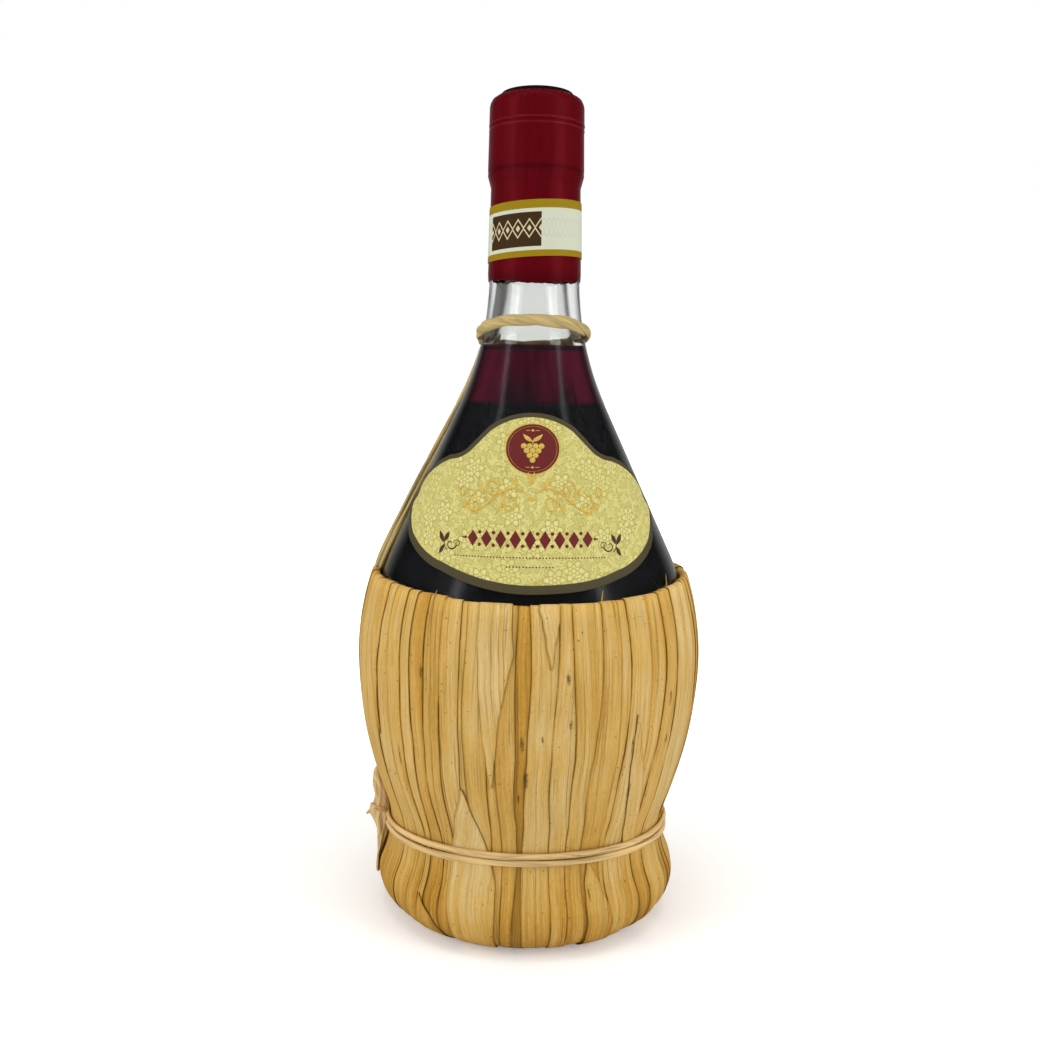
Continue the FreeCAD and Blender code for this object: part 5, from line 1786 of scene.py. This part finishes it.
class FLASK_OT_stage(bpy.types.Operator):
    """Pale floor, soft side lamps, a dark room in front, a white one behind and the camera"""
    bl_idname = "flask.stage"
    bl_label = "Stage"

    def execute(self, context):
        settings = context.scene.flask_stage
        context.scene.view_settings.view_transform = "Standard"
        self.surroundings(context.scene, settings)
        self.floor(settings)
        for name, side in (("side_lamp_left", -1), ("side_lamp_right", 1)):
            place = Vector((side * SIDE_LAMP_PLACE.x, SIDE_LAMP_PLACE.y, SIDE_LAMP_PLACE.z))
            self.lamp(name, place, SIDE_LAMP_SIZE, settings.side_power)
        self.lamp("top_lamp", TOP_LAMP_PLACE, TOP_LAMP_SIZE, settings.top_power)
        self.camera(context.scene, settings)
        return {"FINISHED"}

    def surroundings(self, scene, settings):
        """White to the eye. Gloss and glass see white behind, a dark room in front and two soft streaks."""
        world = bpy.data.worlds.new("studio")
        world.use_nodes = True
        scene.world = world
        graph = Graph(world.node_tree)
        towards = graph.parts(graph.node("ShaderNodeTexCoord", None, None, "Generated"))
        turned = abs(graph.math("ARCTAN2", towards[0], 0.0 - towards[1]))
        broken = graph.noise((towards[0] * 2.0, towards[2] * 7.0), 1.0, 3.0)
        streak = graph.bell(turned - 1.02, 1 / 11)
        streak = streak * (broken + 0.2) * settings.streak
        behind = graph.step(towards[1], 0.62, 0.96)
        mirrored = settings.dark + behind * (settings.behind - settings.dark) + streak
        clear = graph.step(towards[1] + towards[0] * 0.30, 0.68, 0.92)
        through = settings.beside + clear * (1.0 - settings.beside)
        light = settings.fill + graph.light_path("Is Glossy Ray") * (mirrored - settings.fill)
        light = light + graph.light_path("Is Transmission Ray") * (through - light)
        light = light + graph.light_path("Is Camera Ray") * (1 - light)
        sky = graph.node("ShaderNodeBackground", None, {"Color": (1.0, 1.0, 1.0), "Strength": light})
        graph.node("ShaderNodeOutputWorld", None, {"Surface": sky})

    def floor(self, settings):
        corners = [(x * FLOOR_HALF, y * FLOOR_HALF, 0.0) for x, y in ((-1, -1), (1, -1), (1, 1), (-1, 1))]
        mesh = bpy.data.meshes.new("floor")
        mesh.from_pydata(corners, [], [[0, 1, 2, 3]])
        finish = Finish("pale_floor")
        x, y = finish.place()[:2]
        far = finish.step((x * x + y * y) ** 0.5, 90.0, 420.0)
        glow = finish.scaled((1.0, 1.0, 1.0), finish.light_path("Is Camera Ray") * (0.25 + 0.75 * far))
        mesh.materials.append(finish.done({
            "Base Color": settings.floor,
            "Roughness": 0.9,
            "Specular IOR Level": 0.1,
            "Emission Color": glow,
            "Emission Strength": 1.0,
        }))
        floor = link("floor", mesh)
        floor.visible_glossy = False

    def lamp(self, name, place, size, power):
        light = bpy.data.lights.new(name, "AREA")
        light.shape = "RECTANGLE"
        light.size, light.size_y = size
        light.energy = power
        lamp = link(name, light)
        lamp.visible_glossy = False
        lamp.location = place
        lamp.rotation_euler = (LAMP_TARGET - place).to_track_quat("-Z", "Y").to_euler()

    def camera(self, scene, settings):
        """Right, up and back from pitch and yaw, then turned about the line of sight by the roll."""
        lens = bpy.data.cameras.new("camera")
        lens.lens = settings.focal
        lens.sensor_width = SENSOR_WIDTH
        camera = link("camera", lens)
        pitch, yaw, roll = settings.pitch, settings.yaw, settings.roll
        ahead = Vector((-math.sin(yaw) * math.cos(pitch), math.cos(yaw) * math.cos(pitch), -math.sin(pitch)))
        right = Vector((math.cos(yaw), math.sin(yaw), 0.0))
        up = right.cross(ahead)
        leaning = right * math.cos(roll) + up * math.sin(roll)
        rising = up * math.cos(roll) - right * math.sin(roll)
        turned = Matrix((leaning, rising, -ahead)).transposed()
        camera.matrix_world = Matrix.Translation((0.0, -settings.distance, settings.height)) @ turned.to_4x4()
        scene.camera = camera


class FLASK_OT_glass(bpy.types.Operator):
    """Clear bottle with its cavity, turned from one closed outline"""
    bl_idname = "flask.glass"
    bl_label = "Glass"

    def execute(self, context):
        profile = np.concatenate([OUTSIDE, INSIDE[::-1]])
        sheet = Sheet(lathe(profile, 224), close_columns=True)
        settings = context.scene.flask_glass
        finish = glass_finish(settings.tint, settings.edge)
        build("clear_flask", [sheet], finish, "glass_bottle")
        return {"FINISHED"}


class FLASK_OT_wine(bpy.types.Operator):
    """Wine up to its level, wetting the wall, with a meniscus"""
    bl_idname = "flask.wine"
    bl_label = "Wine"

    def execute(self, context):
        settings = context.scene.flask_glass
        wet = INSIDE + np.array([settings.sunk, 0.0]) * (INSIDE[:, :1] > 0)
        rising = wet[:, 1] < WINE_LEVEL
        edge = np.interp(WINE_LEVEL, wet[:, 1], wet[:, 0])
        curve = np.linspace(0.0, 1.0, 8)[:, None]
        fall = MENISCUS_DROP * ease(curve, 0.0, 1.0)
        meniscus = np.concatenate([edge - MENISCUS_WIDTH * curve, WINE_LEVEL - fall], axis=1)
        top = np.linspace(meniscus[-1], (0.0, meniscus[-1, 1]), 8)[1:]
        low = wet[:1] - [0.0, settings.sunk]
        profile = np.concatenate([low, wet[rising][1:], meniscus, top])
        sheet = Sheet(lathe(profile, 192), close_columns=True)
        build("wine_fill", [sheet], wine_finish(settings), "wine")
        return {"FINISHED"}


class FLASK_OT_cork(bpy.types.Operator):
    """Cork in the bore"""
    bl_idname = "flask.cork"
    bl_label = "Cork"

    def execute(self, context):
        finish = cork_finish(context.scene.flask_glass.cork)
        build("bottle_cork", [cork_sheet()], finish, "cork", "cork")
        return {"FINISHED"}


class FLASK_OT_capsule(bpy.types.Operator):
    """Capsule in two pieces parted at the tear line, and the disc on top"""
    bl_idname = "flask.capsule"
    bl_label = "Capsule"

    def execute(self, context):
        settings = context.scene.flask_capsule
        finish = capsule_finish(settings)
        build("capsule_skirt", [sleeve_sheet(settings)], finish, "capsule_sleeve")
        build("capsule_crown", [cap_sheet(settings)], finish, "capsule_cap", "capsule_cap")
        disc = disc_finish(settings.disc)
        build("crown_disc", [disc_sheet()], disc, "capsule_top_disc", "capsule_cap")
        return {"FINISHED"}


class FLASK_OT_neck_strip(bpy.types.Operator):
    """Printed paper round the capsule"""
    bl_idname = "flask.neck_strip"
    bl_label = "Neck strip"

    def execute(self, context):
        settings = context.scene.flask_papers
        finish = strip_finish(settings)
        build("paper_strip", [strip_sheet(settings)], finish, "neck_strip")
        return {"FINISHED"}


class FLASK_OT_label(bpy.types.Operator):
    """Shaped paper label with its olive band and raised ornament"""
    bl_idname = "flask.label"
    bl_label = "Label"

    def execute(self, context):
        settings = context.scene.flask_papers
        paper = label_finish(settings)
        build("shoulder_label", [label_sheet(settings)], paper, "front_label")
        ink = ink_finish(settings.ink)
        gold = foil_finish(settings.foil)
        build("label_medallion", [plate(MEDALLION, MEDALLION_R, 0.10)], ink)
        build("label_grapes", medallion_gold(), gold)
        build("label_scrollwork", flourish_gold(), gold)
        build("label_frieze", frieze_ink(), ink)
        lines = ink_finish(settings.line_ink)
        build("label_sprigs", sprig_ink(), lines)
        build("label_rules", rules_ink(), lines)
        return {"FINISHED"}


class FLASK_OT_leaves(bpy.types.Operator):
    """Forty straw leaves, each two lapped strips folded over the rim, tied at the waist and tucked under"""
    bl_idname = "flask.leaves"
    bl_label = "Straw leaves"

    def execute(self, context):
        settings = context.scene.flask_straw
        finish = straw_finish(settings)
        sheets = leaf_sheets(settings)
        for number, node in enumerate(LEAVES):
            pair = sheets[2 * number:2 * number + 2]
            build(node.replace("straw", "dried"), pair, finish, node)
        for number, (name, (tone, outline)) in enumerate(LEAF_TIPS.items()):
            build(f"straw_{name}", [leaf_tip_sheet(settings, tone, outline, SEED + number)], finish)
        build("rim_splinters", self.splinters(settings), finish)
        return {"FINISHED"}

    def splinters(self, settings):
        """Thin tapering splinters that stand up from the fold of the rim."""
        sheets = []
        for degrees, tall, lean in SPLINTERS:
            bearing = FRONT + math.radians(degrees)
            path = LeafPath(rim_turn(np.array([bearing]), settings))
            row = ROWS["tuck"] + ROWS["fold"] // 2
            root = around(path.r[0, row], bearing, path.z[0, row] - 1.0 * MM)
            share = np.linspace(0.0, 1.0, 12)[:, None]
            line = root + share * (tall + 1.0) * MM * UP + share ** 2 * lean * tall * MM * sideways(bearing)
            outwards = np.broadcast_to(radial(bearing), line.shape)
            slim = (1 - share[:, 0]) ** 0.6
            sheet = sweep(line, outwards, 0.16 * MM * slim, 0.30 * MM * slim, columns=8)
            sheet.caps = True
            sheet.values = dict(SPLINTER_VALUES)
            sheets.append(sheet)
        return sheets


class FLASK_OT_rim_hoop(bpy.types.Operator):
    """Cane hoop in the fold of the leaves"""
    bl_idname = "flask.rim_hoop"
    bl_label = "Rim hoop"

    def execute(self, context):
        bearing = np.linspace(0.0, math.tau, 181)
        place = rim_turn(bearing, context.scene.flask_straw)
        reach = BODY_R - SHOULDER_ROUND + FOLD_REACH * np.cos(place)
        path = around(reach, bearing, BODY_Z + FOLD_REACH * np.sin(place))
        sheet = sweep(path, radial(bearing), HOOP_R, HOOP_R, columns=12)
        build("cane_hoop", [sheet], hoop_finish(), "rim_hoop")
        return {"FINISHED"}


class FLASK_OT_base_ring(bpy.types.Operator):
    """Coiled straw rope that the round bottom sits in"""
    bl_idname = "flask.base_ring"
    bl_label = "Base ring"

    def execute(self, context):
        finish = coil_finish(context.scene.flask_straw.coil)
        build("coiled_base", [base_ring_sheet()], finish, "base_ring")
        return {"FINISHED"}


class FLASK_OT_twine(bpy.types.Operator):
    """Two turns of twine round the waist and their knot at the left"""
    bl_idname = "flask.twine"
    bl_label = "Waist twine"

    def execute(self, context):
        cords = context.scene.flask_cords
        finish = raffia_finish("pale_twine", cords.twine)
        build("waist_tie", [twine_sheet(cords)], finish, "waist_twine")
        knot = raffia_finish("pale_knot", cords.knot)
        build("waist_knot", twine_knot_sheets(), knot, "twine_knot")
        return {"FINISHED"}


class FLASK_OT_neck_cord(bpy.types.Operator):
    """Raffia loop round the neck, its knot and the strap down the left shoulder"""
    bl_idname = "flask.neck_cord"
    bl_label = "Neck cord"

    def execute(self, context):
        cords = context.scene.flask_cords
        finish = raffia_finish("raffia", cords.raffia)
        build("raffia_loop", [loop_sheet(cords)], finish, "neck_loop")
        build("raffia_knot", [neck_knot_sheet()], finish, "neck_knot")
        build("raffia_strap", strap_sheets(cords), finish, "shoulder_strap")
        return {"FINISHED"}


SETTINGS = {
    "flask_glass": FlaskGlass,
    "flask_capsule": FlaskCapsule,
    "flask_papers": FlaskPapers,
    "flask_straw": FlaskStraw,
    "flask_cords": FlaskCords,
    "flask_stage": FlaskStage,
}
OPERATORS = (
    FLASK_OT_stage, FLASK_OT_glass, FLASK_OT_wine, FLASK_OT_cork, FLASK_OT_capsule, FLASK_OT_neck_strip,
    FLASK_OT_label, FLASK_OT_leaves, FLASK_OT_rim_hoop, FLASK_OT_base_ring, FLASK_OT_twine,
    FLASK_OT_neck_cord,
)


class FLASK_PT_panel(bpy.types.Panel):
    """Lists the flask's operators and settings"""
    bl_idname = "FLASK_PT_panel"
    bl_label = "Flask"
    bl_space_type = "VIEW_3D"
    bl_region_type = "UI"
    bl_category = "Flask"

    def draw(self, context):
        for operator in OPERATORS:
            self.layout.operator(operator.bl_idname)
        for name, group in SETTINGS.items():
            box = self.layout.box()
            box.label(text=group.__doc__)
            for key in group.__annotations__:
                box.prop(getattr(context.scene, name), key)


def register():
    for cls in (*SETTINGS.values(), *OPERATORS, FLASK_PT_panel):
        bpy.utils.register_class(cls)
    for name, group in SETTINGS.items():
        setattr(bpy.types.Scene, name, bpy.props.PointerProperty(type=group))


def unregister():
    for name in SETTINGS:
        delattr(bpy.types.Scene, name)
    for cls in (FLASK_PT_panel, *reversed(OPERATORS), *reversed(SETTINGS.values())):
        bpy.utils.unregister_class(cls)


def main():
    register()
    for operator in OPERATORS:
        group, name = operator.bl_idname.split(".")
        getattr(getattr(bpy.ops, group), name)()


if __name__ == "__main__":
    main()
